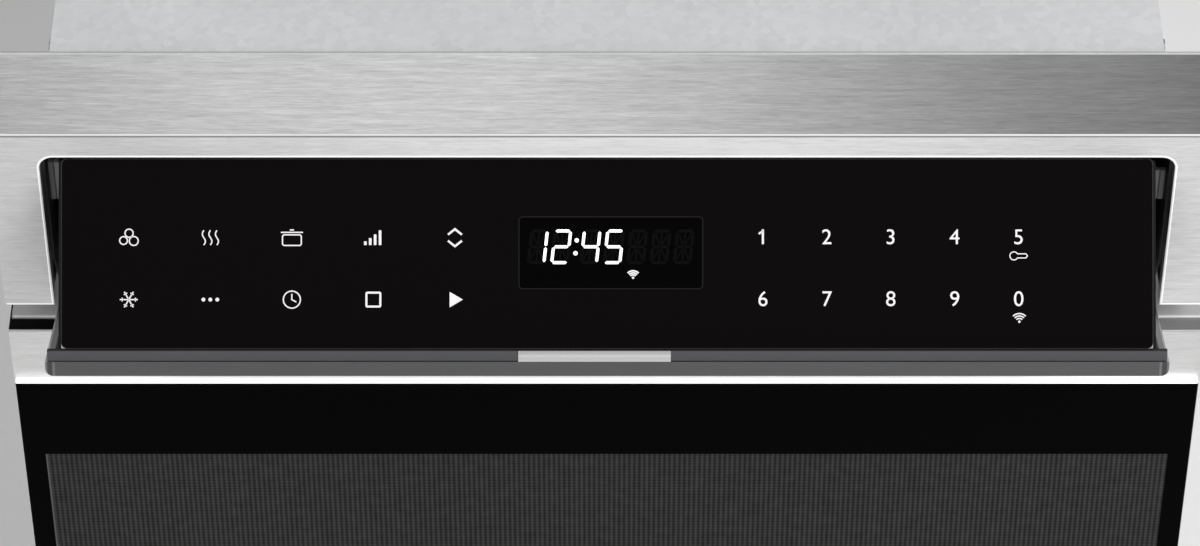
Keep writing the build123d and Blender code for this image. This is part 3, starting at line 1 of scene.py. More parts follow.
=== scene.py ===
"""Microwave drawer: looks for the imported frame. Metres, the CAD frame, built up in assembly order."""
import bpy, bmesh
from math import cos, pi, radians, sin
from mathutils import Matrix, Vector


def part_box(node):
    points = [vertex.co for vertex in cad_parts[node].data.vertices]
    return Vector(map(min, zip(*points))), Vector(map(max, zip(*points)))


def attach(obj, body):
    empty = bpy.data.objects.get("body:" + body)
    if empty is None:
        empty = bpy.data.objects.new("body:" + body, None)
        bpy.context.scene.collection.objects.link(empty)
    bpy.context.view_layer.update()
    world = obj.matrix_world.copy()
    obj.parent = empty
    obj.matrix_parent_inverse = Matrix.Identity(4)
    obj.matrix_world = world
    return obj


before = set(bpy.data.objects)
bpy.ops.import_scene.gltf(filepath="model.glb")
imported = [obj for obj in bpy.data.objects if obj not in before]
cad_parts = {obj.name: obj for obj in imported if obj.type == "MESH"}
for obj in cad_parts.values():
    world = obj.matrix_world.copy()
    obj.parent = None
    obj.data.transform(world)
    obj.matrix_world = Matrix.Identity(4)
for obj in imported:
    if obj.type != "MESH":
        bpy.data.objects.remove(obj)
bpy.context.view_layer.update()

front_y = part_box("upper_fascia")[0].y
front_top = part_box("upper_fascia")[1].z

# ---------------------------------------------------------------- studio
# Pale floor, a big soft key high on the right front, a weaker fill on the left, and a strip
# behind that the brushed top edge mirrors. A dark flag behind on the right lets the steel fall
# off, as it does in a showroom with one bright side.
PITCH = radians(44.2)
CAMERA_REACH = 2.361
AIM_SHIFT = -0.0035
AIM_DROP = 0.0932
aim = Vector((AIM_SHIFT, front_y, front_top - AIM_DROP))
camera = bpy.data.objects.new("camera", bpy.data.cameras.new("camera"))
camera.data.lens = 141.5
camera.data.sensor_width = 36.0
camera.data.clip_end = 60.0
camera.location = aim + CAMERA_REACH * Vector((0, -cos(PITCH), sin(PITCH)))
camera.rotation_euler = (pi / 2 - PITCH, 0, 0)
bpy.context.scene.collection.objects.link(camera)
bpy.context.scene.camera = camera
bpy.context.scene.view_settings.view_transform = "Standard"

world = bpy.data.worlds.new("studio air")
world.use_nodes = True
world.node_tree.nodes["Background"].inputs["Color"].default_value = (1, 1, 1, 1)
world.node_tree.nodes["Background"].inputs["Strength"].default_value = 0.30
bpy.context.scene.world = world


def studio_panel(name, width, depth, tone, place, facing):
    """A flat stage surface: the floor, or a flag."""
    mesh = bpy.data.meshes.new(name)
    half_w, half_d = width / 2, depth / 2
    mesh.from_pydata([(-half_w, -half_d, 0), (half_w, -half_d, 0), (half_w, half_d, 0), (-half_w, half_d, 0)],
                     [], [(0, 1, 2, 3)])
    panel = bpy.data.objects.new(name, mesh)
    panel.location = place
    panel.rotation_euler = Vector(facing).to_track_quat("Z", "Y").to_euler()
    coat = bpy.data.materials.new(name)
    coat.use_nodes = True
    coat.node_tree.nodes["Principled BSDF"].inputs["Base Color"].default_value = (*tone, 1)
    coat.node_tree.nodes["Principled BSDF"].inputs["Roughness"].default_value = 0.8
    mesh.materials.append(coat)
    bpy.context.scene.collection.objects.link(panel)
    return panel


studio_panel("floor", 14, 14, (0.86, 0.86, 0.855), (0, 0, -0.0004), (0, 0, 1))
flag = studio_panel("flag", 2.6, 2.4, (0.03, 0.03, 0.032), (2.05, 2.6, 2.7), (-0.35, -1, -0.6))
flag.visible_camera = False


def softbox(name, power, width, depth, place, target):
    """A rectangular lamp that faces its target."""
    lamp = bpy.data.lights.new(name, "AREA")
    lamp.shape = "RECTANGLE"
    lamp.size, lamp.size_y = width, depth
    lamp.energy = power
    box = bpy.data.objects.new(name, lamp)
    box.location = place
    box.rotation_euler = (Vector(target) - Vector(place)).to_track_quat("-Z", "Y").to_euler()
    bpy.context.scene.collection.objects.link(box)


softbox("key", 105, 2.0, 1.8, (2.3, -1.9, 2.7), (0, -0.2, 0.2))
softbox("fill", 36, 2.6, 1.6, (-2.2, -2.0, 2.6), (0, -0.2, 0.2))
softbox("back strip", 4.6, 1.1, 1.4, (-0.2, 2.3, 2.7), (0, -0.25, 0.43))

# ---------------------------------------------------------------- chassis sheet metal
# Folded galvanised steel: base pan, side panels, cover, rear panel and the flange plate that is
# screwed to the cabinet, with its brackets. Zinc leaves faint cloudy crystals and roller marks.


def new_finish(name, metallic=0.0, roughness=0.5, specular=0.5):
    """A material with its own Principled shader. The steady numbers go straight on the shader."""
    made = bpy.data.materials.new(name)
    made.use_nodes = True
    shader = made.node_tree.nodes["Principled BSDF"]
    shader.inputs["Metallic"].default_value = metallic
    shader.inputs["Roughness"].default_value = roughness
    shader.inputs["Specular IOR Level"].default_value = specular
    return made, made.node_tree, shader


def node(tree, kind, **settings):
    """A shader node of a kind, with its settings."""
    made = tree.nodes.new("ShaderNode" + kind)
    for key, value in settings.items():
        setattr(made, key, value)
    return made


def wire(tree, source, target):
    tree.links.new(source, target)


def own_place(tree):
    """The point of the surface in the piece's own frame, in metres."""
    return node(tree, "TexCoord").outputs["Object"]


def where(tree):
    """The surface's own x, y and z, in metres."""
    parts = node(tree, "SeparateXYZ")
    wire(tree, own_place(tree), parts.inputs[0])
    return parts.outputs


def maths(tree, job, first, second=None):
    """One sum on sockets or numbers."""
    made = node(tree, "Math", operation=job)
    for socket, value in zip(made.inputs, (first, second)):
        if value is None:
            continue
        if isinstance(value, (int, float)):
            socket.default_value = value
        else:
            wire(tree, value, socket)
    return made.outputs[0]


def ramp(tree, source, *stops):
    """Colour ramp. Each stop is a place from 0 to 1 and a grey or a colour."""
    made = node(tree, "ValToRGB")
    spots = made.color_ramp.elements
    while len(spots) < len(stops):
        spots.new(0.5)
    if len(stops) == 1:
        spots.remove(spots[1])
    for spot, (place, tone) in zip(spots, stops):
        spot.position = place
        spot.color = (*tone, 1) if isinstance(tone, tuple) else (tone, tone, tone, 1)
    wire(tree, source, made.inputs[0])
    return made.outputs[0]


def noise(tree, vector, scale, detail=3.0, roughness=0.5):
    """Cloudy noise, from 0 to 1."""
    made = node(tree, "TexNoise")
    made.inputs["Scale"].default_value = scale
    made.inputs["Detail"].default_value = detail
    made.inputs["Roughness"].default_value = roughness
    wire(tree, vector, made.inputs["Vector"])
    return made.outputs["Fac"]


def effect(name, inputs, outputs):
    """An empty node group with named sockets, and its inner ends."""
    group = bpy.data.node_groups.new(name, "ShaderNodeTree")
    for label, kind, value in inputs:
        socket = group.interface.new_socket(label, in_out="INPUT", socket_type="NodeSocket" + kind)
        socket.default_value = value
    for label, kind in outputs:
        group.interface.new_socket(label, in_out="OUTPUT", socket_type="NodeSocket" + kind)
    return group, group.nodes.new("NodeGroupInput"), group.nodes.new("NodeGroupOutput")


def use(tree, group, **values):
    """Places an effect group in a material. Keyword names are the sockets', with spaces as _."""
    made = node(tree, "Group", node_tree=group)
    for key, value in values.items():
        made.inputs[key.replace("_", " ")].default_value = value
    return made


def bump(tree, shader, height, strength, distance):
    """Fine relief on a shader."""
    made = node(tree, "Bump")
    made.inputs["Strength"].default_value = strength
    made.inputs["Distance"].default_value = distance
    wire(tree, height, made.inputs["Height"])
    wire(tree, made.outputs[0], shader.inputs["Normal"])


def mix_tone(tree, share, first, second):
    """The first tone, giving way to the second as the share goes from 0 to 1."""
    made = node(tree, "Mix", data_type="RGBA")
    for socket, value in ((made.inputs[0], share), (made.inputs[6], first), (made.inputs[7], second)):
        if isinstance(value, tuple):
            socket.default_value = (*value, 1)
        elif isinstance(value, (int, float)):
            socket.default_value = value
        else:
            wire(tree, value, socket)
    return made.outputs[2]


# Handling marks: soft smudges that change tone and gloss a little, placed in every finish.
handling, ends_in, ends_out = effect(
    "handling marks",
    [("Tone", "Color", (0.5, 0.5, 0.5, 1)), ("Patch size", "Float", 9.0), ("Tone change", "Float", 0.08),
     ("Gloss", "Float", 0.4), ("Gloss change", "Float", 0.1)],
    [("Tone", "Color"), ("Gloss", "Float")])
smudge = node(handling, "TexNoise")
smudge.inputs["Detail"].default_value = 4.0
smudge.inputs["Roughness"].default_value = 0.6
wire(handling, own_place(handling), smudge.inputs["Vector"])
wire(handling, ends_in.outputs["Patch size"], smudge.inputs["Scale"])
centred = maths(handling, "SUBTRACT", smudge.outputs["Fac"], 0.5)
gain = maths(handling, "ADD", maths(handling, "MULTIPLY", centred, ends_in.outputs["Tone change"]), 1.0)
toned = node(handling, "VectorMath", operation="SCALE")
wire(handling, ends_in.outputs["Tone"], toned.inputs[0])
wire(handling, gain, toned.inputs["Scale"])
wire(handling, toned.outputs[0], ends_out.inputs["Tone"])
gloss_shift = maths(handling, "MULTIPLY", centred, ends_in.outputs["Gloss change"])
wire(handling, maths(handling, "ADD", ends_in.outputs["Gloss"], gloss_shift), ends_out.inputs["Gloss"])


def handled(tree, shader, tone, gloss, **marks):
    """Tone and roughness of a shader through the handling marks."""
    made = use(tree, handling, Gloss=gloss, **marks)
    if isinstance(tone, tuple):
        made.inputs["Tone"].default_value = (*tone, 1)
    else:
        wire(tree, tone, made.inputs["Tone"])
    wire(tree, made.outputs["Tone"], shader.inputs["Base Color"])
    wire(tree, made.outputs["Gloss"], shader.inputs["Roughness"])


def dress(finish, *names):
    """Gives CAD nodes a finish in place of their packed colour."""
    for name in names:
        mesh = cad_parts[name].data
        mesh.materials.clear()
        mesh.materials.append(finish)


def refinish(name, finish, chosen):
    """A second finish on some faces of a CAD node, chosen by their middle and the way they face."""
    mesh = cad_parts[name].data
    mesh.materials.append(finish)
    for face in mesh.polygons:
        if chosen(face.center, face.normal):
            face.material_index = len(mesh.materials) - 1


galvanised, tree, shader = new_finish("galvanised steel", metallic=0.3, roughness=0.62)
at = own_place(tree)
crystals = node(tree, "TexVoronoi", feature="F1")
crystals.inputs["Scale"].default_value = 240.0
wire(tree, at, crystals.inputs["Vector"])
crystal_tone = ramp(tree, crystals.outputs["Color"], (0.0, (0.70, 0.71, 0.72)), (1.0, (0.78, 0.79, 0.80)))
handled(tree, shader, crystal_tone, 0.62, Patch_size=14.0, Tone_change=0.16, Gloss_change=0.22)
bump(tree, shader, noise(tree, at, 900.0), 0.05, 0.0002)
dress(galvanised, "base_pan", "side_panel_left", "side_panel_right", "top_cover", "rear_panel", "front_frame",
      "hinge_bracket_left", "hinge_bracket_right", "damper_bracket", "pinion_bearing", "choke_plate",
      "drawer_frame", "waveguide")

# ---------------------------------------------------------------- brushed front steel
# Stainless sheet, brushed along its length on a belt: the folded fascia with its wide notch, the
# drawer's skin and the flap's own front. The grain shows strongest on the top fold.
brushing, ends_in, ends_out = effect(
    "belt grain",
    [("Tone", "Color", (0.6, 0.6, 0.6, 1)), ("Contrast", "Float", 0.12), ("Length", "Float", 7.0),
     ("Fineness", "Float", 900.0)],
    [("Tone", "Color"), ("Height", "Float")])
coords = node(brushing, "TexCoord")
parts = node(brushing, "SeparateXYZ")
wire(brushing, coords.outputs["Object"], parts.inputs[0])
turn = node(brushing, "SeparateXYZ")
wire(brushing, coords.outputs["Normal"], turn.inputs[0])
on_end = maths(brushing, "GREATER_THAN", maths(brushing, "ABSOLUTE", turn.outputs[0]), 0.7)
along = node(brushing, "Mix", data_type="FLOAT")
across = node(brushing, "Mix", data_type="FLOAT")
for blend, first, second in ((along, parts.outputs[0], parts.outputs[1]),
                             (across, parts.outputs[1], parts.outputs[0])):
    wire(brushing, on_end, blend.inputs[0])
    wire(brushing, first, blend.inputs[2])
    wire(brushing, second, blend.inputs[3])
run = node(brushing, "CombineXYZ")
wire(brushing, maths(brushing, "MULTIPLY", along.outputs[0], ends_in.outputs["Length"]), run.inputs[0])
wire(brushing, maths(brushing, "MULTIPLY", across.outputs[0], ends_in.outputs["Fineness"]), run.inputs[1])
wire(brushing, maths(brushing, "MULTIPLY", parts.outputs[2], ends_in.outputs["Fineness"]), run.inputs[2])
fine = noise(brushing, run.outputs[0], 1.0, 4.0, 0.65)
broad = noise(brushing, run.outputs[0], 0.22, 2.0, 0.5)
FINE_SHARE, BROAD_SHARE = 0.7, 0.3
lines = maths(brushing, "ADD", maths(brushing, "MULTIPLY", fine, FINE_SHARE),
              maths(brushing, "MULTIPLY", broad, BROAD_SHARE))
offset = maths(brushing, "SUBTRACT", lines, 0.5)
level = maths(brushing, "ADD", maths(brushing, "MULTIPLY", offset, ends_in.outputs["Contrast"]), 1.0)
shade = node(brushing, "VectorMath", operation="SCALE")
wire(brushing, ends_in.outputs["Tone"], shade.inputs[0])
wire(brushing, level, shade.inputs["Scale"])
wire(brushing, shade.outputs[0], ends_out.inputs["Tone"])
wire(brushing, lines, ends_out.inputs["Height"])


def across_front(tree):
    """Metres from half a metre left of the middle, over which the steel's painted light and shade change."""
    return maths(tree, "ADD", where(tree)[0], 0.5)


ENDS_START = 27.0


def end_reach(tree):
    """Centimetres beyond ENDS_START from the middle plane, for what happens near the flap's ends."""
    centimetres = maths(tree, "MULTIPLY", maths(tree, "ABSOLUTE", where(tree)[0]), 100.0)
    return maths(tree, "SUBTRACT", centimetres, ENDS_START)


def brushed(name, tones, contrast, length, fineness, roughness, depth, metallic=1.0, spread=across_front):
    """Brushed steel with its own grain and gloss, and tones that change over what the spread measures."""
    made, tree, shader = new_finish(name, metallic=metallic, roughness=roughness)
    grain = use(tree, brushing, Contrast=contrast, Length=length, Fineness=fineness)
    wire(tree, ramp(tree, spread(tree), *tones), grain.inputs["Tone"])
    handled(tree, shader, grain.outputs["Tone"], roughness,
            Patch_size=5.0, Tone_change=0.05, Gloss_change=0.10)
    bump(tree, shader, grain.outputs["Height"], 0.35, depth)
    return made


# Painted reflection on the top fold: lighter left of the middle, darker towards the right.
top_painted_reflection = [(0.22, 0.66), (0.30, 0.68), (0.45, 0.73), (0.59, 0.61), (0.71, 0.58), (0.78, 0.63)]
# Painted light on the front face: lighter in the middle, darker towards its ends.
face_painted_light = [(0.21, 0.70), (0.30, 0.84), (0.45, 0.98), (0.60, 0.98), (0.72, 0.84), (0.78, 0.75)]
# Painted highlights on the flap's top return: light bands near each rounded end, darker between.
flap_painted_highlight = [(0.0, 0.17), (0.03, 0.28), (0.12, 0.28), (0.16, 0.12), (0.36, 0.12), (0.42, 0.30)]
fascia_steel = brushed("brushed fascia steel", top_painted_reflection, 1.3, 100.0, 1500.0, 0.33, 0.00007)
face_steel = brushed("brushed face steel", face_painted_light, 0.9, 80.0, 1400.0, 0.5, 0.00005, metallic=0.5)
skin_steel = brushed("brushed drawer steel", [(0, 0.73)], 0.7, 80.0, 1400.0, 0.33, 0.00004)
flap_steel = brushed("brushed flap steel", flap_painted_highlight, 0.3, 45.0, 1200.0, 0.33, 0.00003, spread=end_reach)
# The top fold's bend, split by the way its faces turn: the upper faces are painted near white, a painted
# highlight, and the lower ones darker, a painted shade.
fold_painted_highlight = brushed("fold painted highlight", [(0, 0.95)], 0.2, 7.0, 1000.0, 0.3, 0.00003, metallic=0.2)
fold_painted_shade = brushed("fold painted shade", [(0, 0.42)], 0.2, 7.0, 1000.0, 0.45, 0.00003)
dress(fascia_steel, "upper_fascia")
dress(skin_steel, "drawer_skin", "flap_fascia")
refinish("flap_fascia", flap_steel, lambda middle, facing: facing.y < -0.9 and facing.z > 0.2)
refinish("upper_fascia", face_steel, lambda middle, facing: facing.y < -0.95)
refinish("upper_fascia", fold_painted_highlight, lambda middle, facing: facing.y < -0.1 and 0.75 < facing.z < 0.98)
refinish("upper_fascia", fold_painted_shade, lambda middle, facing: facing.y < -0.1 and 0.1 < facing.z < 0.75)

# The ledge behind the skin's top edge is dull steel with painted shade: black on the left, growing to a grey
# painted reflection on the right.
ledge_painted_shade, tree, shader = new_finish("dull ledge with painted shade", metallic=0.6, roughness=0.5, specular=0.2)
ledge_shade_tone = ramp(tree, across_front(tree), (0.3, 0.002), (0.7, 0.36))
handled(tree, shader, ledge_shade_tone, 0.5, Patch_size=20.0)
skin_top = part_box("drawer_skin")[1].z
LEDGE_DROP, LEDGE_BACK = 0.002, 0.003
refinish("drawer_skin", ledge_painted_shade,
         lambda middle, facing: facing.z > 0.9 and middle.z > skin_top - LEDGE_DROP
         and middle.y > front_y + LEDGE_BACK)

# ---------------------------------------------------------------- rolled edge of the notch
# The fascia's cut edge is folded back and polished, in a bead as thick as the fold that stays on the steel.
# Its thin white line round the notch and along the fascia's lower edge is a painted highlight, near white and
# glowing a little.
NOTCH_HALF = 0.27825
NOTCH_DROP = 0.0145
NOTCH_CORNER = 0.007
BEAD = 0.00072
BEAD_OUT, BEAD_SINK = 1.3, 0.7


def arc(centre, radius, start, end, steps=8):
    """Points on an arc, with angles in degrees."""
    turns = [radians(start + (end - start) * step / steps) for step in range(steps + 1)]
    return [(centre[0] + radius * cos(turn), centre[1] + radius * sin(turn)) for turn in turns]


def wire_piece(name, points, radius, finish, body):
    """A round wire or bead along a line of points."""
    curve = bpy.data.curves.new(name, "CURVE")
    curve.dimensions = "3D"
    curve.bevel_depth = radius
    curve.bevel_resolution = 3
    curve.use_fill_caps = True
    run = curve.splines.new("POLY")
    run.points.add(len(points) - 1)
    for spot, place in zip(run.points, points):
        spot.co = (*place, 1)
    curve.materials.append(finish)
    piece = bpy.data.objects.new(name, curve)
    bpy.context.scene.collection.objects.link(piece)
    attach(piece, body)


def glint(shader, strength):
    """A little white light of its own, for an edge that shines more than the lamps make it."""
    shader.inputs["Emission Color"].default_value = (1, 1, 1, 1)
    shader.inputs["Emission Strength"].default_value = strength


# Near white with a glow of its own: the bead's painted highlight.
edge_painted_highlight, tree, shader = new_finish("edge with painted highlight", metallic=0.35, roughness=0.3)
handled(tree, shader, (0.95, 0.95, 0.95), 0.3, Patch_size=40.0, Tone_change=0.04, Gloss_change=0.1)
glint(shader, 0.30)
fascia_low, fascia_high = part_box("upper_fascia")
bead_half = NOTCH_HALF + BEAD * BEAD_OUT
bead_corner = (NOTCH_HALF - NOTCH_CORNER, fascia_high.z - NOTCH_DROP - NOTCH_CORNER)
notch_line = [(-bead_half, fascia_low.z)]
notch_line += arc((-bead_corner[0], bead_corner[1]), NOTCH_CORNER + BEAD, 180, 90)
notch_line += arc(bead_corner, NOTCH_CORNER + BEAD, 90, 0)
notch_line += [(bead_half, fascia_low.z)]
bead_y = front_y + BEAD * BEAD_SINK
bead_path = [(fascia_low.x + BEAD, bead_y, fascia_low.z + BEAD)]
bead_path += [(x, bead_y, z + (BEAD if z == fascia_low.z else 0)) for x, z in notch_line]
bead_path += [(fascia_high.x - BEAD, bead_y, fascia_low.z + BEAD)]
wire_piece("notch_edge", bead_path, BEAD, edge_painted_highlight, "chassis")

# The top fold's rear edge is hemmed: a flat roll of the same sheet. A thin dark wire behind it is painted
# shade along the hem's back.
HEM = 0.0012
HEM_OUT = 0.0007
HEM_SHADE = 0.0004
HEM_SHADE_OUT = 0.0021
HEM_SHADE_RISE = 0.0007
hem_z = front_top - HEM
hem_run = (fascia_low.x + HEM, 0, fascia_high.x - HEM)
wire_piece("top_hem", [(x, fascia_high.y + HEM_OUT, hem_z) for x in hem_run],
           HEM, fascia_steel, "chassis")
wire_piece("hem_painted_shade", [(x, fascia_high.y + HEM_SHADE_OUT, hem_z + HEM_SHADE_RISE) for x in hem_run],
           HEM_SHADE, fold_painted_shade, "chassis")

# ---------------------------------------------------------------- drawer top rail
# The painted rail behind the drawer's top edge ends in a rolled bead, which the flap's lower edge passes as
# it swings. The bead's near-white tone is a painted highlight on that rounded edge.
rail_low, rail_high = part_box("drawer_top_trim")
RAIL_BEAD = 0.0009
RAIL_SINK = 0.6
rail_bead_painted_highlight, tree, shader = new_finish("rail bead with painted highlight", metallic=0.2, roughness=0.35)
handled(tree, shader, (0.85, 0.85, 0.85), 0.35, Patch_size=40.0, Tone_change=0.06, Gloss_change=0.1)
rail_sink = RAIL_BEAD * RAIL_SINK
wire_piece("top_rail_bead", [(x, rail_low.y + rail_sink, rail_high.z - rail_sink) for x in
                             (rail_low.x + RAIL_BEAD, 0, rail_high.x - RAIL_BEAD)],
           RAIL_BEAD, rail_bead_painted_highlight, "drawer")

# ---------------------------------------------------------------- plastics
# Moulded parts: the flap's housing and tray, the choke cover, the blower, gears and trims.
# Injection-moulded with a fine spark-eroded grain.
moulding, ends_in, ends_out = effect(
    "mould grain",
    [("Tone", "Color", (0.05, 0.05, 0.05, 1)), ("Size", "Float", 1600.0), ("Contrast", "Float", 0.25)],
    [("Tone", "Color"), ("Height", "Float")])
pits = node(moulding, "TexNoise")
pits.inputs["Detail"].default_value = 2.0
wire(moulding, own_place(moulding), pits.inputs["Vector"])
wire(moulding, ends_in.outputs["Size"], pits.inputs["Scale"])
wire(moulding, pits.outputs["Fac"], ends_out.inputs["Height"])
tinted = node(moulding, "VectorMath", operation="SCALE")
wire(moulding, ends_in.outputs["Tone"], tinted.inputs[0])
pitting = maths(moulding, "SUBTRACT", pits.outputs["Fac"], 0.5)
pitted = maths(moulding, "MULTIPLY", pitting, ends_in.outputs["Contrast"])
wire(moulding, maths(moulding, "ADD", pitted, 1.0), tinted.inputs["Scale"])
wire(moulding, tinted.outputs[0], ends_out.inputs["Tone"])


def moulded(name, tone, roughness, size=1600.0, specular=0.5, contrast=0.25, depth=0.00006, spread=None):
    """A moulded finish. With a spread, the tone is a list of stops over what the spread measures."""
    made, tree, shader = new_finish(name, roughness=roughness, specular=specular)
    grain = use(tree, moulding, Size=size, Contrast=contrast)
    if spread:
        wire(tree, ramp(tree, spread(tree), *tone), grain.inputs["Tone"])
    else:
        grain.inputs["Tone"].default_value = (*tone, 1)
    handled(tree, shader, grain.outputs["Tone"], roughness,
            Patch_size=18.0, Tone_change=0.12, Gloss_change=0.14)
    bump(tree, shader, grain.outputs["Height"], 0.4, depth)
    return made


FLAP_TURN = radians(71)
PIVOT_DEPTH = 0.01745
PIVOT_HEIGHT = 0.3314
flap_pivot = Vector((0, front_y + PIVOT_DEPTH, PIVOT_HEIGHT))


def lip_depth(tree):
    """Centimetres from the flap's pivot towards its front, square to the front."""
    parts = where(tree)
    ahead = maths(tree, "MULTIPLY", maths(tree, "SUBTRACT", flap_pivot.y, parts[1]), cos(FLAP_TURN))
    below = maths(tree, "MULTIPLY", maths(tree, "SUBTRACT", flap_pivot.z, parts[2]), sin(FLAP_TURN))
    return maths(tree, "MULTIPLY", maths(tree, "ADD", ahead, below), 100.0)


black_moulding = moulded("black moulding", (0.018, 0.018, 0.019), 0.5, specular=0.25)
housing_black = moulded("housing black", (0.085, 0.085, 0.086), 0.6, specular=0.3)
tray_black = moulded("tray black", (0.007, 0.007, 0.0075), 0.4, specular=0.1)
grey_moulding = moulded("grey moulding", (0.20, 0.20, 0.21), 0.5)
grey_trim = moulded("grey trim", (0.56, 0.56, 0.565), 0.45, contrast=0.1)
# The lip is painted near black along its edge by the glass and darker along its seam with the fascia: painted
# shade in the gap and the seam.
lip_painted_shade = moulded("lip with painted shade", [(0.38, 0.012), (0.40, (0.066, 0.070, 0.070)), (0.86, (0.058, 0.058, 0.069)),
                                (0.885, 0.036)], 0.42, contrast=0.1, spread=lip_depth)
# The end caps are painted near black on their inner part, beside the glass: painted shade from the tray's
# wall.
end_cap_painted_shade = moulded("grey end cap with painted shade", [(0.11, 0.03), (0.15, 0.29)], 0.45, contrast=0.2, spread=end_reach)
# The stop tabs' grey is painted light: near white, the inner half lighter than the outer, with a painted
# shade line down the groove between them.
stop_tab_painted_light = moulded("stop tab grey with painted light", [(0.39, 0.92), (0.41, 0.35), (0.47, 0.35), (0.49, 0.72)], 0.5,
                    contrast=0.15, spread=end_reach)
gear_moulding = moulded("gear moulding", (0.68, 0.66, 0.60), 0.45)
dress(black_moulding, "choke_cover", "rotary_damper", "drive_gearbox", "latch_hooks", "blower_housing",
      "blower_wheel", "cord_gland", "interlock_switches", "display_module")
dress(tray_black, "flap_tray")
dress(housing_black, "flap_housing")
housing_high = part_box("flap_housing")[1]
STOP_REACH = 0.0072
STOP_BACK = 0.0215
STOP_SPAN = 0.003
STOP_FOOT = 0.37
STOP_START = 0.0016
refinish("flap_housing", stop_tab_painted_light,
         lambda middle, facing: housing_high.x - STOP_REACH < abs(middle.x) < housing_high.x - STOP_START
         and abs(middle.y - front_y - STOP_BACK) < STOP_SPAN and middle.z > STOP_FOOT)
dress(grey_moulding, "flap_cheek_left", "flap_cheek_right")
dress(lip_painted_shade, "flap_lip")
dress(grey_trim, "drawer_top_trim")
dress(end_cap_painted_shade, "flap_end_caps")
dress(gear_moulding, "drive_pinion", "drive_rack", "damper_pinion", "stirrer_cover")

# ---------------------------------------------------------------- runners, pins and screws
# Cold-rolled steel slides with a bright zinc coat, greased, with faint rolling lines along them.
# The flap's pivot pins and the screws have the same coat.
runner_zinc, tree, shader = new_finish("runner zinc", metallic=1.0, roughness=0.3)
grain = use(tree, brushing, Contrast=0.25, Length=600.0, Fineness=600.0)
grain.inputs["Tone"].default_value = (0.62, 0.63, 0.65, 1)
handled(tree, shader, grain.outputs["Tone"], 0.32, Patch_size=22.0, Tone_change=0.2, Gloss_change=0.2)
bump(tree, shader, grain.outputs["Height"], 0.2, 0.00003)
dress(runner_zinc, "outer_rail_left", "outer_rail_right", "inner_rail_left", "inner_rail_right",
      "mid_rail_left", "mid_rail_right", "pivot_pins", "chassis_screws")

# ---------------------------------------------------------------- cavity and tub
# Deep-drawn steel with baked acrylic enamel, for the tub and for the cavity's ceiling over it,
# and a glass-ceramic plate in the tub's floor.
enamelled = moulded("cavity enamel", (0.36, 0.36, 0.35), 0.32, size=420.0, contrast=0.16, depth=0.00008)
plate_ceramic = moulded("floor plate ceramic", (0.60, 0.60, 0.585), 0.16, size=300.0, contrast=0.06)
dress(enamelled, "cavity_ceiling", "drawer_tub")
dress(plate_ceramic, "tub_floor_plate")

# ---------------------------------------------------------------- power parts
# Motors in plated cans, aluminium fins on the magnetron, varnished transformer core, and green
# boards, of which one is the touch board in the flap.
motor_can, tree, shader = new_finish("motor can", metallic=1.0, roughness=0.35)
handled(tree, shader, (0.55, 0.56, 0.57), 0.35, Patch_size=40.0, Tone_change=0.2, Gloss_change=0.2)
bump(tree, shader, noise(tree, own_place(tree), 700.0), 0.1, 0.0001)
dress(motor_can, "drive_motor", "stirrer_motor", "blower_motor")
fins, tree, shader = new_finish("bare aluminium", metallic=1.0, roughness=0.38)
handled(tree, shader, (0.78, 0.78, 0.79), 0.38, Patch_size=60.0, Tone_change=0.12, Gloss_change=0.2)
bump(tree, shader, noise(tree, own_place(tree), 1200.0), 0.1, 0.00006)
dress(fins, "magnetron", "hv_capacitor", "stirrer_fan")
core_varnish = moulded("varnished core", (0.05, 0.035, 0.03), 0.35, size=500.0)
dress(core_varnish, "transformer")
board_mask = moulded("board mask", (0.02, 0.10, 0.045), 0.3, size=260.0, contrast=0.5)
dress(board_mask, "power_board", "touch_board")

# ---------------------------------------------------------------- drawer glass and window
# Toughened glass bonded to the skin, printed black behind and round the window. The perforated
# screen lies just behind the clear part and shows as a fine grid of grey dots.
WINDOW_HALF = 0.2911
WINDOW_TOP = 0.2163
WINDOW_BOTTOM = 0.080
DOT_PITCH = 0.00261
ROW_PITCH = 0.0021
COLUMN_DEPTH, ROW_DEPTH = 0.30, 0.16
LIT_SIDE = 0.0008
black_glass, tree, shader = new_finish("black glass", roughness=0.05, specular=0.02)
x_there, _, z_there = where(tree)
columns = maths(tree, "COSINE", maths(tree, "MULTIPLY", x_there, 2 * pi / DOT_PITCH))
rows = maths(tree, "COSINE", maths(tree, "MULTIPLY", z_there, 2 * pi / ROW_PITCH))
dots = maths(tree, "ADD", maths(tree, "MULTIPLY", columns, COLUMN_DEPTH),
             maths(tree, "MULTIPLY", rows, ROW_DEPTH))
uneven = maths(tree, "MULTIPLY", maths(tree, "SUBTRACT", noise(tree, own_place(tree), 160.0), 0.5), 0.5)
dots = maths(tree, "ADD", maths(tree, "ADD", dots, 0.5), uneven)
screen_tone = ramp(tree, dots, (0.0, 0.012), (0.5, 0.031), (1.0, 0.060))
inside_x = maths(tree, "LESS_THAN", maths(tree, "ABSOLUTE", x_there), WINDOW_HALF)
inside_z = maths(tree, "MULTIPLY", maths(tree, "LESS_THAN", z_there, WINDOW_TOP),
                 maths(tree, "GREATER_THAN", z_there, WINDOW_BOTTOM))
clear = maths(tree, "MULTIPLY", inside_x, inside_z)
# A thin strip along the window's left edge is painted light grey: painted light on the window's edge.
lit_side = maths(tree, "LESS_THAN", x_there, LIT_SIDE - WINDOW_HALF)
window_tone = mix_tone(tree, lit_side, screen_tone, (0.10, 0.105, 0.105))
glass_tone = mix_tone(tree, clear, (0.0005, 0.0005, 0.0005), window_tone)
handled(tree, shader, glass_tone, 0.05, Patch_size=6.0, Tone_change=0.1, Gloss_change=0.03)
dress(black_glass, "drawer_glass")
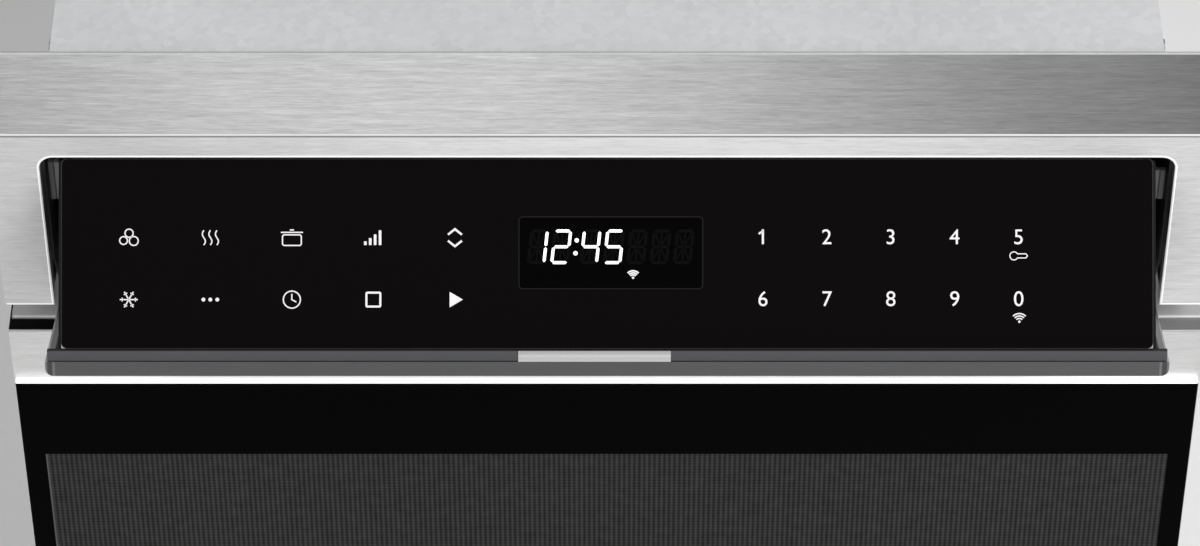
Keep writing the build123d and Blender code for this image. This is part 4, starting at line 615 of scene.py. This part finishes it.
# The glass's top edge is painted near white with a glow of its own: a painted highlight along the drawer
# front.
glass_edge_painted_highlight, tree, shader = new_finish("glass edge with painted highlight", roughness=0.35, specular=0.5)
handled(tree, shader, (0.96, 0.96, 0.96), 0.35, Patch_size=50.0, Tone_change=0.03, Gloss_change=0.1)
glint(shader, 0.65)
refinish("drawer_glass", glass_edge_painted_highlight, lambda middle, facing: facing.z > 0.5)
screen, tree, shader = new_finish("perforated screen", metallic=0.4, roughness=0.4)
handled(tree, shader, (0.05, 0.05, 0.05), 0.4, Patch_size=6.0, Tone_change=0.2, Gloss_change=0.03)
dress(screen, "window_screen")

# ---------------------------------------------------------------- control glass
# The flap's own glass, bonded in the tray with a thin grey seal. It is printed warm black behind,
# and its corners are filled flush where the tray's recess is square.
flap_black, tree, shader = new_finish("flap black glass", roughness=0.06, specular=0.06)
handled(tree, shader, (0.0036, 0.0026, 0.0029), 0.06, Patch_size=6.0, Tone_change=0.1, Gloss_change=0.03)
dress(flap_black, "flap_glass")
glass_low, glass_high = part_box("flap_glass")
GLASS_LENGTH = 0.0925
GLASS_HALF = glass_high.x * 1000
GLASS_CORNER = 2.5
FIT = 0.1
SEAL_OUT, SEAL_WIDTH = 0.15, 0.3
SEAL_LIFT, FILLER_LIFT = -0.1, -0.05
MITRE_LIMIT = 0.4
TILT = radians(45)
glass_out = Vector((0, -sin(TILT), cos(TILT)))
glass_down = Vector((0, -cos(TILT), -sin(TILT)))
glass_top = Vector((0, glass_low.y + GLASS_LENGTH * cos(TILT), glass_high.z))


def printed(name, outlines, finish, lift):
    """Flat shapes on the glass. Outlines are in millimetres, x to the right and y up from its top edge."""
    built = bmesh.new()
    for outline in outlines:
        built.faces.new([built.verts.new(glass_top + Vector((x / 1000, 0, 0)) - glass_down * y / 1000
                                         + glass_out * lift / 1000) for x, y in outline])
    mesh = bpy.data.meshes.new(name)
    built.to_mesh(mesh)
    built.free()
    mesh.materials.append(finish)
    piece = bpy.data.objects.new(name, mesh)
    bpy.context.scene.collection.objects.link(piece)
    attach(piece, "control_flap")


def stroke(points, width, closed=False):
    """A mitred band along a line of points, as one outline for each step."""
    spots = [Vector(point) for point in points]
    count = len(spots)
    sides = []
    for number, spot in enumerate(spots):
        before = spots[number - 1] if closed or number > 0 else None
        after = spots[(number + 1) % count] if closed or number < count - 1 else None
        arriving = (spot - before).normalized() if before else (after - spot).normalized()
        leaving = (after - spot).normalized() if after else arriving
        middle = (arriving + leaving).normalized()
        reach = width / 2 / max(middle.dot(leaving), MITRE_LIMIT)
        across = Vector((-middle.y, middle.x)) * reach
        sides.append((spot - across, spot + across))
    steps = range(count if closed else count - 1)
    return [[sides[n][0], sides[(n + 1) % count][0], sides[(n + 1) % count][1], sides[n][1]] for n in steps]


def rounded(centre, half_width, half_height, corner, steps=4):
    """Outline of a rectangle with round corners, anticlockwise."""
    points = []
    for start, sign_x, sign_y in ((0, 1, 1), (90, -1, 1), (180, -1, -1), (270, 1, -1)):
        middle = (centre[0] + sign_x * (half_width - corner), centre[1] + sign_y * (half_height - corner))
        points += arc(middle, corner, start, start + 90, steps)
    return points


def dot(centre, radius):
    """Outline of a filled round dot."""
    return arc(centre, radius, 0, 340, 17)


seal_grey = moulded("grey seal", (0.045, 0.045, 0.046), 0.5)
half_length = GLASS_LENGTH * 500
seal_line = rounded((0, -half_length), GLASS_HALF + SEAL_OUT, half_length + FIT, GLASS_CORNER + FIT)
printed("glass_seal", stroke(seal_line, SEAL_WIDTH, closed=True), seal_grey, SEAL_LIFT)
corner_grey = moulded("corner filler", (0.40, 0.40, 0.41), 0.35)
corners = []
for hand in (-1, 1):
    middle = (hand * (GLASS_HALF - GLASS_CORNER), GLASS_CORNER - GLASS_LENGTH * 1000)
    curve = arc(middle, GLASS_CORNER + FIT, 270, 270 + hand * 90, 6)
    filler = [(hand * (GLASS_HALF + FIT), -GLASS_LENGTH * 1000 - FIT)] + curve[::-1]
    corners.append(filler if hand > 0 else filler[::-1])
printed("corner_fillers", corners, corner_grey, FILLER_LIFT)

# ---------------------------------------------------------------- display
# A dark window in the glass with seven fourteen-segment cells behind it. The clock is lit white
# in the first four, and the dark segments just show. A thin grey line is printed round it.
DISPLAY = (1.8, -45.8)
DISPLAY_HALF = (44.95, 17.6)
DISPLAY_CORNER = 1.8
FRAME_STROKE = 0.5
INK_LIFT, FRAME_LIFT, DARK_LIFT, LIT_LIFT = 0.03, 0.04, 0.05, 0.07
FIRST_CELL = (-35.7, 2.95)
COLON = ((-16.7, 6.1), (-17.3, -0.2))
COLON_DOT = 1.06
CELL_PITCH = 11.42
COLON_SPACE = 2.9
CELL_HALF = (3.8, 7.75)
CELL_LEAN = 0.108
BAR = 1.45
DARK_BAR, DARK_DIAGONAL = 1.5, 0.9
BAR_GAP = 0.22
pane_black, tree, shader = new_finish("display pane", roughness=0.12, specular=0.03)
handled(tree, shader, (0.0012, 0.0012, 0.0013), 0.12, Patch_size=20.0, Tone_change=0.1, Gloss_change=0.03)
frame_line = moulded("display frame line", (0.0105, 0.0105, 0.0105), 0.45, specular=0.1)
segment_dark = moulded("dark segments", (0.0048, 0.0048, 0.0048), 0.5, specular=0.0)
pane = rounded(DISPLAY, *DISPLAY_HALF, DISPLAY_CORNER)
printed("display_pane", [pane], pane_black, INK_LIFT)
printed("display_frame_line", stroke(pane, FRAME_STROKE, closed=True), frame_line, FRAME_LIFT)
cell_x, cell_y = CELL_HALF
corner_points = {"tl": (-cell_x, cell_y), "tm": (0, cell_y), "tr": (cell_x, cell_y),
                 "ml": (-cell_x, 0), "mm": (0, 0), "mr": (cell_x, 0),
                 "bl": (-cell_x, -cell_y), "bm": (0, -cell_y), "br": (cell_x, -cell_y)}
BARS = {"a": "tl tr", "b": "tr mr", "c": "mr br", "d": "bl br", "e": "ml bl", "f": "tl ml", "g": "ml mm",
        "h": "mm mr", "i": "tm mm", "j": "mm bm", "k": "tl mm", "l": "tr mm", "m": "bl mm", "n": "br mm",
        "middle": "ml mr"}


def bar(centre, letter, width):
    """One display segment with pointed ends, leaning with its cell."""
    start, end = (Vector(corner_points[key]) for key in BARS[letter].split())
    along = (end - start).normalized()
    across = Vector((-along.y, along.x)) * width / 2
    start, end = start + along * BAR_GAP, end - along * BAR_GAP
    shape = [start, start + along * width / 2 - across, end - along * width / 2 - across, end,
             end - along * width / 2 + across, start + along * width / 2 + across]
    return [(centre[0] + point.x + CELL_LEAN * point.y, centre[1] + point.y) for point in shape]


def left_dark(letter, letters):
    """Whether a segment stays dark. A lit middle bar stands for its two halves."""
    return letter not in letters and letter != "middle" and not ("middle" in letters and letter in "gh")


CLOCK = (("b", "c"), ("a", "b", "middle", "e", "d"), ("f", "middle", "b", "c"),
         ("a", "f", "middle", "c", "d"), (), (), ())
cells = [(DISPLAY[0] + FIRST_CELL[0] + CELL_PITCH * n + (COLON_SPACE if n > 1 else 0),
          DISPLAY[1] + FIRST_CELL[1]) for n in range(len(CLOCK))]
lit = [bar(cell, letter, BAR) for cell, letters in zip(cells, CLOCK) for letter in letters]
lit += [dot((DISPLAY[0] + x, DISPLAY[1] + y), COLON_DOT) for x, y in COLON]
unlit = [bar(cell, letter, DARK_BAR if letter in "abcdefgh" else DARK_DIAGONAL)
         for cell, letters in zip(cells, CLOCK) for letter in BARS if left_dark(letter, letters)]
lit_white, tree, shader = new_finish("lit segment", roughness=0.4)
glow = ramp(tree, noise(tree, own_place(tree), 400.0), (0.3, (0.90, 0.93, 0.95)), (0.7, (1, 1, 1)))
wire(tree, glow, shader.inputs["Emission Color"])
wire(tree, glow, shader.inputs["Base Color"])
shader.inputs["Emission Strength"].default_value = 0.75
printed("display_lit", lit, lit_white, LIT_LIFT)
printed("display_unlit", unlit, segment_dark, DARK_LIFT)

# ---------------------------------------------------------------- key marks
# Screen print on the glass: plain digits on the right, and plain pictograms for the keys on the
# left. The print is a matt white ink, a little thin at its edges.
KEY_ROWS = (-38.4, -68.7)
DIGIT_COLUMN, DIGIT_PITCH = 76.2, 31.3
MARK_COLUMN, MARK_PITCH = -234.1, 39.9
DIGIT_HEIGHT = 7.4
CAP_SHARE = 0.70
ONE_FLAG = ((-2.0, 1.9), (0, 3.2))
ONE_FLAG_WIDTH = 0.95
LINE = 0.62
BOLD = 1.0
ink, tree, shader = new_finish("white ink", roughness=0.55, specular=0.3)
ink_tone = ramp(tree, noise(tree, own_place(tree), 3000.0), (0.2, 0.78), (0.7, 0.92))
handled(tree, shader, ink_tone, 0.55, Patch_size=60.0, Tone_change=0.05)


def digit(text, x, y):
    """Outlines of one plain digit, with its middle at x, y."""
    letter = bpy.data.curves.new("digit", "FONT")
    letter.body = text
    letter.size = DIGIT_HEIGHT / CAP_SHARE
    letter.align_x = "CENTER"
    letter.align_y = "CENTER"
    letter.resolution_u = 4
    writer = bpy.data.objects.new("digit", letter)
    mesh = bpy.data.meshes.new_from_object(writer)
    points = [(x + corner.co.x, y + corner.co.y) for corner in mesh.vertices]
    outlines = [[points[n] for n in face.vertices] for face in mesh.polygons]
    bpy.data.objects.remove(writer)
    bpy.data.meshes.remove(mesh)
    return outlines


def line(*points, width=LINE, closed=False):
    """A printed line through points."""
    return stroke(points, width, closed)


def steam(x):
    """One rising wave."""
    return line(*[(x + 0.8 * sin(step * pi / 3), -3.6 + 1.2 * step) for step in range(7)])


def spokes(radius, count, width=LINE):
    """Bars through a middle, with a short cross on each end."""
    shapes = []
    for turn in range(count):
        way = Vector((cos(pi * turn / count), sin(pi * turn / count)))
        across = Vector((-way.y, way.x))
        shapes += line(-way * radius, way * radius, width=width)
        for end in (-1, 1):
            tip = way * end * radius * 0.62
            spread, rise = across * 0.9, way * end * 0.7
            shapes += line(tip - spread + rise, tip, tip + spread + rise, width=0.45)
    return shapes


marks = {
    (0, 0): [shape for x, y, r in ((-2.6, -1.4, 1.9), (2.4, -1.6, 2.2), (0.1, 2.2, 2.0))
             for shape in line(*arc((x, y), r, 0, 342, 19), closed=True)],
    (1, 0): steam(-3.2) + steam(0) + steam(3.2),
    (2, 0): (line(*rounded((0, -1.2), 4.6, 2.6, 0.9), closed=True)
             + line((-5.4, 2.6), (5.4, 2.6)) + line((-1, 3.8), (1, 3.8))),
    (3, 0): [[(x, -3.6), (x + 1.3, -3.6), (x + 1.3, top), (x, top)]
             for x, top in ((-4.6, -1.8), (-2.2, -0.2), (0.2, 1.6), (2.6, 3.6))],
    (4, 0): (line((-3.4, 1.5), (0, 4.2), (3.4, 1.5), width=BOLD)
             + line((-3.4, -1.5), (0, -4.2), (3.4, -1.5), width=BOLD)),
    (0, 1): spokes(4.4, 3),
    (1, 1): [dot((x, 0), 0.95) for x in (-3.4, 0, 3.4)],
    (2, 1): line(*arc((0, 0), 4.2, 0, 342, 19), closed=True) + line((0, 2.8), (0, 0), (2.2, -1.2)),
    (3, 1): line(*rounded((0, 0), 3.4, 3.4, 0.5), width=BOLD, closed=True),
    (4, 1): [[(-2.6, -3.8), (3.9, 0), (-2.6, 3.8)]],
}
shapes = []
for (column, row), mark in marks.items():
    shift = Vector((MARK_COLUMN + MARK_PITCH * column, KEY_ROWS[row]))
    shapes += [[Vector(point) + shift for point in outline] for outline in mark]
last_key = DIGIT_COLUMN + 4 * DIGIT_PITCH
lock_ring = arc((last_key - 2.3, KEY_ROWS[0] - 8.9), 2.0, 30, 330, 14)
shapes += stroke(lock_ring + [(last_key + 3.6, KEY_ROWS[0] - 9.9), (last_key + 4.3, KEY_ROWS[0] - 8.9),
                              (last_key + 3.6, KEY_ROWS[0] - 7.9)], 0.5, closed=True)


def waves(x, y, sizes, width):
    """Arcs fanned up from a dot, the usual sign for a wireless link."""
    fan = [shape for size in sizes for shape in stroke(arc((x, y), size, 45, 135, 6), width)]
    return fan + [dot((x, y + 0.4), 0.6)]


shapes += waves(last_key + 0.3, KEY_ROWS[1] - 11.2, (2.0, 3.2, 4.4), 0.62)
printed("key_marks", shapes, ink, INK_LIFT)
for number, text in enumerate("1234567890"):
    place = (DIGIT_COLUMN + DIGIT_PITCH * (number % 5), KEY_ROWS[number // 5])
    outlines = digit(text, *place)
    if text == "1":
        outlines += line(*[(place[0] + x, place[1] + y) for x, y in ONE_FLAG], width=ONE_FLAG_WIDTH)
    printed("key_digit_" + text, outlines, ink, INK_LIFT)
printed("link_light", waves(DISPLAY[0] + 10.9, DISPLAY[1] - 12.6, (1.8, 2.8, 3.8), 0.75), ink, LIT_LIFT)

# ---------------------------------------------------------------- bright tab
# A strip of bright anodised aluminium let into the flap's lip, where a hand pulls. It is rolled with a
# shallow ridge along its middle, and its tone is painted lighter there: a painted highlight.
bright_tab, tree, shader = new_finish("bright tab", metallic=1.0, roughness=0.22)
tab_painted_highlight = ramp(tree, lip_depth(tree), (0.35, 0.66), (0.52, 0.78), (0.62, 1.0), (0.74, 0.84), (0.93, 0.92))
handled(tree, shader, tab_painted_highlight, 0.22, Patch_size=30.0, Tone_change=0.05, Gloss_change=0.08)
dress(bright_tab, "flap_tab")
